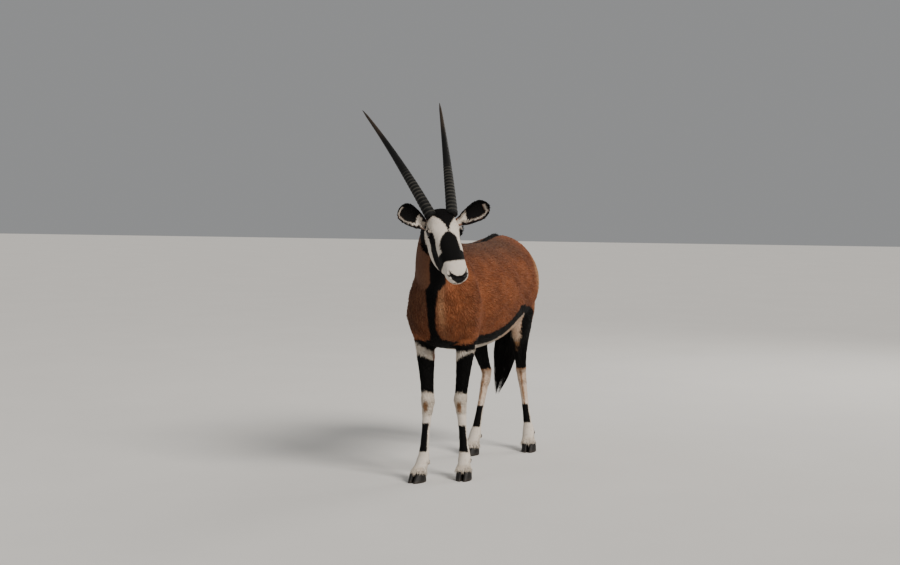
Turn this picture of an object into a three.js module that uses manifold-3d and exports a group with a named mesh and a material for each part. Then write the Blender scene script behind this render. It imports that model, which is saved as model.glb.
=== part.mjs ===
// A gemsbok standing still, life size, in millimetres. It faces -Y with its left side towards +X and +Z up,
// and its eight claws stand on z = 0. The head is raised and turned to the animal's left.
// The body is lofted through named stations, joined, and then parted with thin flat cuts into its named parts.
import * as THREE from "three";
import { mergeVertices } from "three/addons/utils/BufferGeometryUtils.js";
import Module from "manifold-3d";

const wasm = await Module();
wasm.setup();

const V = (x, y, z) => new THREE.Vector3(x, y, z);
const rad = THREE.MathUtils.degToRad;
const UP = V(0, 0, 1);
const LEFT = 1;
const RIGHT = -1;

// Driving dimensions
const PARTING = 0.35; // gap between two nodes that touch

const HEAD = {
  eyes: V(120.9, -250, 1267.5), // halfway between the eyes
  turn: 36.1, // degrees to the animal's left of the body's own direction
  droop: 47.5, // degrees that the line of the face falls below level
  tilt: 6, // degrees that the left side is raised
  size: 1.1, // times the sizes in the stations of the head
};
const EYE = { radius: 19, along: 0, height: 13, side: 65.5 };
const LID = { long: 22, short: 14.5, thick: 4.2 };
const MOUTH = { height: -17, corner: 176, deep: 6, gape: 2.2, rise: 5 };
const HORN = {
  length: 838, base: 27, tip: 2.5, along: -85, height: 46, side: 50.5,
  leanAtBase: 42, leanAtTip: 55, spread: 10.4, rings: 13, ringedShare: 0.52, ringHeight: 2.2,
};
const EAR = { length: 190, thick: 5, along: -68, height: -16, side: 69 };
const CLAW = { height: 46, toe: 60, heel: 44, width: 40, split: 3, turnOut: 9 };
const TAIL = { rootRadius: 26, endRadius: 9, fleshShare: 0.6, hairShare: 0.41 };
const SWITCH_LOCK = { count: 15, length: 0.4, width: 44, thick: 13 };
const MANE = { count: 12, from: 1.8, to: 2.98, length: 50, width: 30, thick: 10, lift: 0.75 };
const BACK_TUFT = { count: 8, from: 640, to: 790, length: 62, width: 22, thick: 9, lift: 0.32 };

// Where each foot stands, and the joints above it.
const FEET = {
  fore_right: { side: RIGHT, hoof: V(-100, -69, 0), fetlock: V(-85, -22, 112), knee: V(-66, -6, 405), top: V(-104, 48, 705) },
  fore_left: { side: LEFT, hoof: V(100, 69, 0), fetlock: V(86, 116, 112), knee: V(66, 112, 405), top: V(104, 92, 705) },
  hind_right: { side: RIGHT, hoof: V(-132, 785, 0), fetlock: V(-126, 838, 116), knee: V(-97, 938, 446), top: V(-128, 800, 742) },
  hind_left: { side: LEFT, hoof: V(130, 1012, 0), fetlock: V(110, 1062, 116), knee: V(66, 1062, 450), top: V(128, 846, 748) },
};

// Small helpers

// A smooth curve through the values that the stations give for one key, by their place `at`.
function between(stations, key) {
  const x = stations.map((s) => s.at);
  const y = stations.map((s) => s[key]);
  const last = x.length - 1;
  const slope = x.map((_, i) => {
    const a = Math.max(i - 1, 0);
    const b = Math.min(i + 1, last);
    return (y[b] - y[a]) / (x[b] - x[a]);
  });
  return (at) => {
    const c = Math.min(Math.max(at, x[0]), x[last]);
    let i = 0;
    while (i < last - 1 && c > x[i + 1]) i++;
    const h = x[i + 1] - x[i];
    const t = (c - x[i]) / h;
    const u = 1 - t;
    const ends = y[i] * u * u * (1 + 2 * t) + y[i + 1] * t * t * (3 - 2 * t);
    return ends + h * t * u * (slope[i] * u - slope[i + 1] * t);
  };
}
const curves = (stations, ...keys) => keys.map((key) => between(stations, key));

// Evenly spaced places from a to b, both included.
const places = (a, b, count) => Array.from({ length: count }, (_, i) => a + ((b - a) * i) / (count - 1));

// A bell of height 1 that fades within about two widths.
const bell = (distance, width) => Math.exp(-((distance / width) ** 2));

// A sine or cosine with its corners pushed out: below 1 is boxy, above 1 is pointed.
const boxy = (value, power) => Math.sign(value) * Math.abs(value) ** power;

const mixed = (a, b, share) => a.clone().lerp(b, share);
const { clamp, smoothstep } = THREE.MathUtils;

// A closed geometry made into a solid.
function solid(geometry) {
  const bare = new THREE.BufferGeometry().setAttribute("position", geometry.getAttribute("position"));
  bare.setIndex(geometry.index);
  const merged = mergeVertices(bare, 1e-3);
  const triVerts = new Uint32Array(merged.index.array);
  const make = () =>
    new wasm.Manifold(new wasm.Mesh({ numProp: 3, vertProperties: merged.attributes.position.array, triVerts }));
  const made = make();
  if (made.volume() >= 0) return made;
  for (let i = 0; i < triVerts.length; i += 3) {
    [triVerts[i + 1], triVerts[i + 2]] = [triVerts[i + 2], triVerts[i + 1]];
  }
  return make();
}

// A closed loft: a ring of `sides` points at each place, closed to its own middle at both ends.
function loft(at, sides, point) {
  const steps = at.length + 1;
  const geometry = new THREE.SphereGeometry(1, sides, steps);
  const position = geometry.attributes.position;
  const rings = at.map((a) => Array.from({ length: sides }, (_, i) => point(a, (i / sides) * 2 * Math.PI)));
  const middle = (points) => points.reduce((sum, p) => sum.add(p), V(0, 0, 0)).divideScalar(points.length);
  for (let row = 0; row <= steps; row++) {
    const points = rings[clamp(row - 1, 0, at.length - 1)];
    for (let column = 0; column <= sides; column++) {
      const p = row === 0 || row === steps ? middle(points) : points[column % sides];
      position.setXYZ(row * (sides + 1) + column, p.x, p.y, p.z);
    }
  }
  return solid(geometry);
}

const join = (solids) => solids.reduce((a, b) => a.add(b));

// The largest of a solid's separate bodies.
const largest = (s) => s.decompose().reduce((a, b) => (b.volume() > a.volume() ? b : a));

// A primitive set with its own X, Y and Z along three axes.
function placed(geometry, centre, axes, scale = [1, 1, 1]) {
  return solid(geometry.applyMatrix4(new THREE.Matrix4().makeBasis(...axes).scale(V(...scale)).setPosition(centre)));
}
const AXES = [V(1, 0, 0), V(0, 1, 0), V(0, 0, 1)];

// Random numbers that are the same in each run.
function drawsFrom(seed) {
  let state = seed;
  return () => {
    state = (state * 1664525 + 1013904223) % 4294967296;
    return state / 4294967296;
  };
}

// A flat lock of hair that tapers to a point: its middle line, and the directions it is thick in along that line.
function lock(line, thickness, width, thick) {
  const taper = [0.4, 1, 0.74, 0.1];
  const at = places(0, 1, taper.length);
  return loft(at, 4, (t, angle) => {
    const size = taper[at.indexOf(t)];
    const heading = line(Math.min(t + 0.05, 1)).sub(line(Math.max(t - 0.05, 0))).normalize();
    const off = thickness(t).addScaledVector(heading, -thickness(t).dot(heading)).normalize();
    const across = new THREE.Vector3().crossVectors(heading, off);
    return line(t)
      .addScaledVector(across, (width / 2) * size * Math.cos(angle))
      .addScaledVector(off, (thick / 2) * size * Math.sin(angle));
  });
}

// Torso: sections across Y. `widest` is the height of the widest line, `crown` how pointed the back is.
const TORSO = [
  { at: -172, top: 985, bottom: 845, half: 42, widest: 905, crown: 1 },
  { at: -155, top: 1040, bottom: 790, half: 88, widest: 900, crown: 1 },
  { at: -110, top: 1100, bottom: 730, half: 130, widest: 890, crown: 1.02 },
  { at: -30, top: 1178, bottom: 688, half: 156, widest: 890, crown: 1.12 },
  { at: 70, top: 1222, bottom: 668, half: 166, widest: 890, crown: 1.26 },
  { at: 200, top: 1212, bottom: 650, half: 190, widest: 900, crown: 1.16 },
  { at: 400, top: 1199, bottom: 636, half: 226, widest: 905, crown: 1.02 },
  { at: 600, top: 1205, bottom: 652, half: 236, widest: 915, crown: 1.0 },
  { at: 760, top: 1222, bottom: 692, half: 230, widest: 935, crown: 1.04 },
  { at: 900, top: 1228, bottom: 748, half: 224, widest: 955, crown: 1.06 },
  { at: 1000, top: 1192, bottom: 812, half: 194, widest: 975, crown: 1.05 },
  { at: 1065, top: 1134, bottom: 866, half: 146, widest: 990, crown: 1 },
  { at: 1095, top: 1080, bottom: 915, half: 84, widest: 990, crown: 1 },
];
const TORSO_RINGS = [
  -172, -158, -130, -90, -40, 20, 90, 170, 265, 370, 480, 590, 690, 780, 860, 930, 990, 1040, 1072, 1092,
];

function makeTorso() {
  const [top, bottom, half, widest, crown] = curves(TORSO, "top", "bottom", "half", "widest", "crown");
  return loft(TORSO_RINGS, 26, (y, angle) => {
    const s = Math.sin(angle);
    const c = Math.cos(angle);
    const upper = s > 0;
    const rise = upper ? top(y) - widest(y) : widest(y) - bottom(y);
    return V(half(y) * boxy(c, upper ? crown(y) : 0.96), y, widest(y) + rise * boxy(s, upper ? crown(y) : 0.94));
  });
}

// Head frame: `along` runs from the poll to the muzzle, `dorsal` stands off the face, `side` is the left.
function headFrame() {
  const forward = V(Math.sin(rad(HEAD.turn)), -Math.cos(rad(HEAD.turn)), 0);
  const level = V(Math.cos(rad(HEAD.turn)), Math.sin(rad(HEAD.turn)), 0);
  const raised = UP.clone().applyAxisAngle(forward, rad(HEAD.tilt));
  const side = level.clone().applyAxisAngle(forward, rad(HEAD.tilt));
  const mix = (f, u) => forward.clone().multiplyScalar(f).addScaledVector(raised, u);
  const along = mix(Math.cos(rad(HEAD.droop)), -Math.sin(rad(HEAD.droop)));
  const dorsal = mix(Math.sin(rad(HEAD.droop)), Math.cos(rad(HEAD.droop)));
  return { forward, raised, side, along, dorsal };
}
const FRAME = headFrame();
const FRAME_AXES = [FRAME.along, FRAME.dorsal, FRAME.side];
const onHead = (...sizes) =>
  sizes.reduce((p, size, i) => p.addScaledVector(FRAME_AXES[i], size * HEAD.size), HEAD.eyes.clone());

// Neck: from inside the shoulders to the back of the skull, with its depth to the nape and to the throat.
const NECK = [
  { at: 0, x: 0, y: 95, z: 985, nape: 205, throat: 215, half: 140 },
  { at: 1, x: 1, y: -18, z: 1078, nape: 138, throat: 186, half: 122 },
  { at: 2, x: 14, y: -92, z: 1166, nape: 116, throat: 138, half: 106 },
  { at: 3, x: 40, y: -142, z: 1246, nape: 104, throat: 104, half: 93 },
  { at: 4, x: 70, y: -180, z: 1312, nape: 88, throat: 76, half: 79 },
  { at: 4.6, x: 86, y: -198, z: 1346, nape: 60, throat: 58, half: 58 },
];
const NECK_END = NECK.at(-1).at;
const neckPath = curves(NECK, "x", "y", "z");
const neckPoint = (at) => V(...neckPath.map((f) => f(at)));

// The neck's own axes at a place: its path, its left and its throat side.
function neckAxes(at) {
  const step = 0.05;
  const path = neckPoint(at + step).sub(neckPoint(at - step)).normalize();
  const turn = rad(HEAD.turn) * smoothstep(at, 1, NECK_END);
  const left = V(Math.cos(turn), Math.sin(turn), 0);
  left.addScaledVector(path, -left.dot(path)).normalize();
  return { path, left, throat: new THREE.Vector3().crossVectors(left, path).normalize() };
}

function makeNeck(grow = 0) {
  const [nape, throat, half] = curves(NECK, "nape", "throat", "half");
  return loft(places(0.05, NECK_END - 0.05, 12), 22, (at, angle) => {
    const axes = neckAxes(at);
    const s = Math.sin(angle);
    const depth = s > 0 ? -(nape(at) + grow) * boxy(s, 1.1) : -(throat(at) + grow) * boxy(s, 0.98);
    return neckPoint(at)
      .addScaledVector(axes.left, (half(at) + grow) * Math.cos(angle))
      .addScaledVector(axes.throat, depth);
  });
}

// Skull: sections across the line from the poll to the muzzle. `jaw` narrows the lower half.
const SKULL = [
  { at: -132, top: 22, bottom: -50, half: 38, jaw: 1 },
  { at: -112, top: 46, bottom: -78, half: 56, jaw: 1 },
  { at: -80, top: 60, bottom: -100, half: 65, jaw: 1.03 },
  { at: -40, top: 67, bottom: -118, half: 69, jaw: 1.12 },
  { at: 0, top: 66, bottom: -128, half: 68, jaw: 1.18 },
  { at: 45, top: 59, bottom: -131, half: 65, jaw: 1.3 },
  { at: 95, top: 52, bottom: -122, half: 61, jaw: 1.34 },
  { at: 145, top: 47, bottom: -100, half: 56, jaw: 1.22 },
  { at: 190, top: 44, bottom: -70, half: 52, jaw: 0.97 },
  { at: 222, top: 40, bottom: -51, half: 51, jaw: 0.84 },
  { at: 246, top: 30, bottom: -46, half: 46, jaw: 0.85 },
  { at: 259, top: 15, bottom: -38, half: 37, jaw: 0.88 },
  { at: 264, top: 4, bottom: -30, half: 23, jaw: 0.92 },
];
const SKULL_RINGS = [
  -132, -124, -108, -86, -62, -40, -22, -6, 10, 28, 48, 72, 100, 130, 160, 186, 206, 222, 236, 247, 256, 262,
];
const [skullTop, skullBottom, skullHalf, skullJaw] = curves(SKULL, "top", "bottom", "half", "jaw");

// The skull, sunk by `inset` all round, or grown where that is below 0.
function makeSkull(inset = 0) {
  return loft(SKULL_RINGS, 32, (place, angle) => {
    const along = place - (place > 255 || place < -130 ? Math.sign(place) * inset : 0);
    const s = Math.sin(angle);
    const c = Math.cos(angle);
    const jaw = 1 - (1 - skullJaw(along)) * smoothstep(-s, 0.1, 0.9);
    const plainSide = skullHalf(along) * jaw * boxy(c, s > 0 ? 0.88 : 0.7);
    const plainHeight = (s > 0 ? skullTop(along) : -skullBottom(along)) * boxy(s, 0.9);
    const orbit = 11 * bell(along + 4, 28) * bell(plainHeight - 18, 30);
    const belowEye = -4 * bell(along - 62, 30) * bell(plainHeight - 26, 26);
    const cheek = 9 * bell(along - 30, 60) * bell(plainHeight + 74, 44);
    const lips = 4 * bell(along - 236, 24) * bell(plainHeight + 8, 18);
    const side = plainSide + (orbit + belowEye + cheek + lips) * c * Math.abs(c);
    const brow = 4 * bell(along + 15, 30) * bell(Math.abs(side) - 42, 16);
    const chin = -4 * bell(along - 228, 20);
    const height = plainHeight + (s > 0 ? brow * s : chin * s * s);
    const length = Math.hypot(side, height);
    const keep = Math.max(length - inset, 1) / length;
    return onHead(along, height * keep, side * keep);
  });
}

// The line of the mouth: a thin wedge, kept only just under the skin.
function makeMouthLine() {
  const sheet = new THREE.BoxGeometry(1, MOUTH.gape, 160);
  const position = sheet.attributes.position;
  for (let i = 0; i < position.count; i++) {
    const front = position.getX(i) > 0;
    const height = MOUTH.height + (front ? 0 : MOUTH.rise) + position.getY(i);
    const p = onHead(front ? 320 : MOUTH.corner, height, position.getZ(i));
    position.setXYZ(i, p.x, p.y, p.z);
  }
  return solid(sheet).subtract(makeSkull(MOUTH.deep));
}

function makeNostril(side) {
  const out = FRAME.side.clone().multiplyScalar(side * 0.9).addScaledVector(FRAME.dorsal, 0.55);
  out.addScaledVector(FRAME.along, 0.35).normalize();
  const slant = FRAME.along.clone().multiplyScalar(0.8).addScaledVector(FRAME.dorsal, -0.55);
  slant.addScaledVector(out, -slant.dot(out)).normalize();
  const across = new THREE.Vector3().crossVectors(out, slant);
  return placed(new THREE.SphereGeometry(1, 10, 6), onHead(243, 13, side * 30), [out, across, slant], [14, 4.4, 13]);
}

// The eye's ball, its socket when grown, and the opening between the lids.
const eyeCentre = (side) => onHead(EYE.along, EYE.height, side * EYE.side);
const makeEye = (side, grow = 0) =>
  placed(new THREE.SphereGeometry(EYE.radius + grow, 16, 10), eyeCentre(side), FRAME_AXES);

function makeLids(side) {
  const centre = onHead(EYE.along + 1, EYE.height - 1, side * (EYE.side + EYE.radius * 0.66));
  const ring = new THREE.TorusGeometry(1, LID.thick / LID.short, 6, 18);
  return placed(ring, centre, FRAME_AXES, [LID.long, LID.short, LID.short]);
}

function makeLidOpening(side) {
  const centre = onHead(EYE.along + 1, EYE.height - 1, side * (EYE.side + 22));
  const size = [LID.long - LID.thick, LID.short - LID.thick, 20];
  return placed(new THREE.SphereGeometry(1, 16, 8), centre, FRAME_AXES, size);
}

// Horns: nearly straight, leaning back, ringed on the lower half.
function makeHorn(side) {
  const steps = 24;
  const spread = rad(HORN.spread);
  const points = [onHead(HORN.along, HORN.height, side * HORN.side)];
  for (const share of places(0, 1, steps)) {
    const lean = rad(HORN.leanAtBase + (HORN.leanAtTip - HORN.leanAtBase) * share);
    const heading = FRAME.raised.clone().multiplyScalar(Math.cos(lean) * Math.cos(spread))
      .addScaledVector(FRAME.forward, -Math.sin(lean) * Math.cos(spread))
      .addScaledVector(FRAME.side, side * Math.sin(spread));
    points.push(points.at(-1).clone().addScaledVector(heading, HORN.length / steps));
  }
  const path = new THREE.CatmullRomCurve3(points);
  const ringed = HORN.ringedShare;
  const crests = places(0.06, ringed, HORN.rings * 2);
  const at = [0, ...crests, ...places(ringed + 0.05, 0.97, 7), 1];
  return loft(at, 10, (t, angle) => {
    const row = crests.indexOf(t);
    const ring = row < 0 ? 0 : (row % 2 ? -0.4 : 1) * HORN.ringHeight * (1 - (0.6 * t) / ringed);
    const radius = HORN.tip + (HORN.base - HORN.tip) * (1 - t) ** 0.72 + ring;
    const heading = path.getTangentAt(t);
    const out = FRAME.side.clone().addScaledVector(heading, -FRAME.side.dot(heading)).normalize();
    const back = new THREE.Vector3().crossVectors(heading, out);
    return path.getPointAt(t)
      .addScaledVector(out, radius * Math.cos(angle))
      .addScaledVector(back, radius * 1.06 * Math.sin(angle));
  });
}

// Ears: a leaf that wraps nearly into a tube at the root and opens into a cup. `wrap` is half its arc in degrees.
const LEAF = [
  { at: 0, half: 17, wrap: 150 },
  { at: 0.14, half: 23, wrap: 134 },
  { at: 0.3, half: 38, wrap: 92 },
  { at: 0.5, half: 50, wrap: 62 },
  { at: 0.68, half: 55, wrap: 52 },
  { at: 0.82, half: 50, wrap: 45 },
  { at: 0.93, half: 33, wrap: 40 },
  { at: 1, half: 8, wrap: 34 },
];

// How far each ear points outward, forward and up.
const EAR_HEADING = { [LEFT]: [0.82, 0.36, 0.34], [RIGHT]: [0.64, 0.5, 0.5] };

function makeEar(side) {
  const [outward, forward, upward] = EAR_HEADING[side];
  const axis = FRAME.side.clone().multiplyScalar(side * outward)
    .addScaledVector(FRAME.forward, forward)
    .addScaledVector(FRAME.raised, upward)
    .normalize();
  const open = FRAME.forward.clone().addScaledVector(FRAME.side, side * 0.12);
  open.addScaledVector(axis, -open.dot(axis)).normalize();
  const across = new THREE.Vector3().crossVectors(axis, open);
  const root = onHead(EAR.along, EAR.height, side * EAR.side);
  const [half, wrap] = curves(LEAF, "half", "wrap");
  const at = [0, 0.08, 0.18, 0.3, 0.42, 0.54, 0.66, 0.78, 0.88, 0.95, 1];
  return loft(at, 20, (t, angle) => {
    const outside = angle < Math.PI;
    const share = outside ? angle / Math.PI : (2 * Math.PI - angle) / Math.PI;
    const arc = rad(wrap(t));
    const turn = arc * (2 * share - 1);
    const radius = half(t) / Math.sin(Math.min(arc, Math.PI / 2));
    const r = outside ? radius : Math.max(radius - EAR.thick, radius * 0.35);
    return root.clone()
      .addScaledVector(axis, EAR.length * t)
      .addScaledVector(across, r * Math.sin(turn))
      .addScaledVector(open, radius * 0.5 - r * Math.cos(turn) - 14 * t * t);
  });
}

// Limbs: sections across the line of the bones. `fore` and `aft` are the depths before and behind that line.
const section = (point, fore, aft, half) => ({ x: point.x, y: point.y, z: point.z, fore, aft, half });

function footSections({ hoof, fetlock }) {
  const coronet = V(hoof.x + (fetlock.x - hoof.x) * 0.25, hoof.y + 8, CLAW.height);
  return [
    section(fetlock, 29, 34, 34),
    section(mixed(fetlock, coronet, 0.5), 27, 28, 34),
    section(coronet, 40, 34, 40),
    section(mixed(coronet, V(coronet.x, coronet.y, 0), 0.2), 40, 34, 40),
  ];
}

const foreSections = (foot) => [
  section(V(foot.side * 80, 100, 1110), 52, 84, 44),
  section(V(foot.side * 106, 68, 990), 98, 118, 68),
  section(V(foot.side * 118, 46, 860), 124, 122, 76),
  section(V(foot.top.x + foot.side * 6, foot.top.y + 4, 760), 82, 96, 60),
  section(mixed(foot.top, foot.knee, 0.05), 62, 72, 52),
  section(mixed(foot.top, foot.knee, 0.4), 48, 50, 43),
  section(mixed(foot.top, foot.knee, 0.78), 34, 33, 33),
  section(foot.knee, 38, 33, 35.5),
  section(mixed(foot.knee, foot.fetlock, 0.16), 29, 30, 28),
  section(mixed(foot.knee, foot.fetlock, 0.48), 20, 25, 21),
  section(mixed(foot.knee, foot.fetlock, 0.84), 22, 28, 25),
  ...footSections(foot),
];

const hindSections = (foot) => [
  section(V(foot.side * 92, 925, 1120), 92, 74, 58),
  section(V(foot.side * 116, 905, 1010), 138, 122, 82),
  section(V(foot.side * 124, (917 + foot.top.y) / 2, 880), 140, 150, 80),
  section(V(foot.top.x, foot.top.y + 22, foot.top.z), 104, 118, 66),
  section(mixed(foot.top, foot.knee, 0.46), 64, 68, 45),
  section(mixed(foot.top, foot.knee, 0.78), 39, 46, 31),
  section(foot.knee, 34, 41, 28),
  section(mixed(foot.knee, foot.fetlock, 0.18), 27, 33, 23),
  section(mixed(foot.knee, foot.fetlock, 0.5), 22, 26, 19),
  section(mixed(foot.knee, foot.fetlock, 0.86), 23, 29, 23),
  ...footSections(foot),
];

// Dewclaws behind the fetlock.
const makeDewclaws = ({ fetlock }) =>
  [LEFT, RIGHT].map((side) => placed(
    new THREE.SphereGeometry(1, 8, 6),
    V(fetlock.x + side * 17, fetlock.y + 32, fetlock.z - 18),
    [V(1, 0, 0), V(0, 0.8, 0.6), V(0, -0.6, 0.8)], [9, 11, 17]));

function makeLeg(name) {
  const foot = FEET[name];
  const sections = (name.startsWith("fore") ? foreSections(foot) : hindSections(foot)).map((s, at) => ({ at, ...s }));
  const [x, y, z, fore, aft, half] = curves(sections, "x", "y", "z", "fore", "aft", "half");
  const end = sections.length - 1;
  const point = (at) => V(x(at), y(at), z(at));
  const leg = loft(places(0, end, 21), 12, (at, angle) => {
    const path = point(Math.max(at - 0.1, 0)).sub(point(Math.min(at + 0.1, end))).normalize();
    path.lerp(UP, smoothstep(at, end - 3, end - 1)).normalize();
    const out = V(1, 0, 0).addScaledVector(path, -path.x).normalize();
    const back = new THREE.Vector3().crossVectors(path, out);
    const s = Math.sin(angle);
    return point(at)
      .addScaledVector(out, half(at) * Math.cos(angle))
      .addScaledVector(back, (s > 0 ? aft(at) : fore(at)) * s);
  });
  const ground = V(foot.hoof.x, foot.hoof.y, CLAW.height + PARTING - 100);
  const belowCoronet = placed(new THREE.BoxGeometry(400, 400, 200), ground, AXES);
  return join([leg, ...makeDewclaws(foot)]).subtract(belowCoronet);
}

// One claw: flat below, straight on the side of the split, bowed outside, with its toe drawn forward.
function makeClaw(foot, side) {
  const turn = rad(foot.side * CLAW.turnOut);
  return loft([0, 5, 24, CLAW.height], 14, (z, angle) => {
    const rise = z / CLAW.height;
    const c = Math.cos(angle);
    const s = Math.sin(angle);
    const reach = s < 0 ? CLAW.toe * (1 - 0.42 * rise) : CLAW.heel * (1 - 0.14 * rise);
    const outer = CLAW.width * (c > 0 ? 0.6 : 0.4) * (1 - 0.1 * rise);
    const across = outer * boxy(c, 0.8) * (s < 0 ? 1 - 0.35 * s * s : 1);
    const x = side * (CLAW.width * 0.4 + CLAW.split / 2 + across - (s < 0 ? 5 * s * s : 0));
    const y = reach * boxy(s, 0.9) + 5 * rise;
    const flare = z === 0 ? 0.97 : 1;
    return V(
      foot.hoof.x + (x * Math.cos(turn) - y * Math.sin(turn)) * flare,
      foot.hoof.y + (x * Math.sin(turn) + y * Math.cos(turn)) * flare,
      z,
    );
  });
}

// Tail: a dock of flesh and a long switch of hair.
const TAIL_PATH = new THREE.CatmullRomCurve3([
  V(0, 1040, 1112), V(0, 1094, 1082), V(0, 1136, 1006), V(-10, 1152, 880), V(-32, 1154, 740),
  V(-52, 1148, 600), V(-74, 1140, 450), V(-108, 1130, 292),
]);

function makeDock() {
  return loft(places(0, TAIL.fleshShare, 10), 12, (t, angle) => {
    const radius = TAIL.rootRadius + ((TAIL.endRadius - TAIL.rootRadius) * t) / TAIL.fleshShare;
    return TAIL_PATH.getPointAt(t).add(V(radius * Math.cos(angle), radius * Math.sin(angle), 0));
  });
}

const SWITCH = [
  { at: 0.4, half: 16 },
  { at: 0.5, half: 31 },
  { at: 0.64, half: 52 },
  { at: 0.78, half: 56 },
  { at: 0.9, half: 38 },
  { at: 1, half: 8 },
];

// The tuft: locks in tiers, each rooted in the dock and hanging along the tail's path.
function makeSwitch() {
  const [half] = curves(SWITCH, "half");
  const draw = drawsFrom(7);
  const locks = [];
  for (let i = 0; i < SWITCH_LOCK.count; i++) {
    const tier = i / (SWITCH_LOCK.count - 1);
    const angle = i * 2.4 + draw() * 0.3;
    const swing = (draw() - 0.5) * 0.4;
    const reach = (i % 2 ? 0.95 : 0.6) - 0.06 * draw();
    const start = TAIL.hairShare + (TAIL.fleshShare - TAIL.hairShare - 0.03) * tier;
    const end = Math.min(start + SWITCH_LOCK.length + 0.1 * draw(), 1);
    const place = (t) => start + (end - start) * t;
    const off = (t) => V(Math.cos(angle + swing * t), Math.sin(angle + swing * t) * 0.8, 0);
    const out = (t) => 3 + (half(place(t)) * reach - 3) * smoothstep(t, 0, 0.4);
    locks.push(lock(
      (t) => TAIL_PATH.getPointAt(place(t)).addScaledVector(off(t), out(t)),
      off, SWITCH_LOCK.width * (0.85 + 0.3 * draw()), SWITCH_LOCK.thick));
  }
  return locks;
}

// The cuts that part the flesh: the middle, the direction across, and how far it reaches.
const CUTS = [
  { middle: neckPoint(1.3), normal: neckAxes(1.3).path, reach: 262 },
  { middle: neckPoint(3.15), normal: FRAME.forward.clone().addScaledVector(FRAME.raised, 0.6), reach: 190 },
  { middle: V(0, 1137, 1002), normal: V(0, 0.3, -0.95), reach: 38 },
];
for (const [name, foot] of Object.entries(FEET)) {
  const fore = name.startsWith("fore");
  const high = mixed(foot.top, foot.knee, fore ? 0.217 : 0.31);
  const low = mixed(foot.knee, foot.fetlock, 0.17);
  CUTS.push({ middle: high, normal: UP, reach: fore ? 102 : 118 });
  CUTS.push({ middle: low, normal: UP, reach: 80 });
}

const makeCut = ({ middle, normal, reach }) => {
  const disc = new THREE.CylinderGeometry(reach, reach, PARTING, 32);
  disc.applyQuaternion(new THREE.Quaternion().setFromUnitVectors(V(0, 1, 0), normal.clone().normalize()));
  return solid(disc.translate(middle.x, middle.y, middle.z));
};

// Short locks in one row: the mane up the nape, and the tuft on the back. Each leans back and a little aside.
// `lift` is how far a lock stands up, as a share of its length.
function makeRow({ count, length, width, thick, lift }, seed, root, up, back) {
  const draw = drawsFrom(seed);
  return places(0, 1, count).map((share, i) => {
    const lean = (draw() - 0.5) * 0.3 + (i % 2 ? 0.22 : -0.22);
    const long = length * (0.85 + 0.3 * draw()) * (0.65 + 0.35 * Math.sin(Math.PI * share));
    const aside = new THREE.Vector3().crossVectors(up(share), back(share)).normalize();
    const line = (t) => root(share)
      .addScaledVector(up(share), -thick + (long * lift + thick) * Math.sin(t * 1.5))
      .addScaledVector(back(share), long * (0.3 * t + 0.6 * t * t))
      .addScaledVector(aside, long * lean * t);
    return lock(line, () => aside.clone(), width, thick);
  });
}

function makeMane() {
  const at = (share) => MANE.from + (MANE.to - MANE.from) * share;
  const [nape] = curves(NECK, "nape");
  const up = (share) => neckAxes(at(share)).throat.negate();
  const root = (share) => neckPoint(at(share)).addScaledVector(up(share), nape(at(share)));
  return makeRow(MANE, 11, root, up, (share) => neckAxes(at(share)).path.negate());
}

function makeBackTuft() {
  const at = (share) => BACK_TUFT.from + (BACK_TUFT.to - BACK_TUFT.from) * share;
  const [top] = curves(TORSO, "top");
  return makeRow(BACK_TUFT, 5, (share) => V(0, at(share), top(at(share))), () => UP.clone(), () => V(0, 1, 0));
}

// The flesh as one body, then parted. Each piece is known by the mark that lies nearest to its middle.
const MARKS = { torso: V(0, 450, 930), neck: neckPoint(2.6), head: onHead(60, 0, 0), tail: TAIL_PATH.getPointAt(0.55) };
for (const [name, foot] of Object.entries(FEET)) {
  MARKS[`${name}_upper_leg`] = mixed(foot.top, foot.knee, 0.7);
  MARKS[`${name}_lower_leg`] = mixed(foot.knee, foot.fetlock, 0.7);
}

function makeFlesh() {
  const legs = Object.keys(FEET).map(makeLeg);
  const bulk = [makeTorso(), makeNeck(), makeSkull(), makeLids(LEFT), makeLids(RIGHT), makeDock()];
  const whole = join([...bulk, ...legs, ...makeMane(), ...makeBackTuft(), ...makeSwitch()]);
  const hollows = [makeMouthLine()];
  for (const side of [LEFT, RIGHT]) {
    hollows.push(makeEye(side, PARTING), makeLidOpening(side), makeNostril(side));
  }
  const pieces = whole.subtract(join(hollows)).subtract(join(CUTS.map(makeCut))).decompose();
  const nodes = {};
  for (const piece of pieces.sort((a, b) => b.volume() - a.volume())) {
    const { min, max } = piece.boundingBox();
    const middle = mixed(V(...min), V(...max), 0.5);
    const far = (name) => MARKS[name].distanceTo(middle);
    const near = Object.keys(MARKS).reduce((a, b) => (far(b) < far(a) ? b : a));
    nodes[near] ??= piece;
  }
  return nodes;
}

// Each material's base colour and roughness.
const MATERIALS = {
  coat: [0x9a6a4c, 0.9],
  darkCoat: [0x241b17, 0.9],
  horn: [0x2b2521, 0.55],
  claw: [0x1d1a18, 0.5],
  eye: [0x0d0806, 0.08],
};

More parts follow.
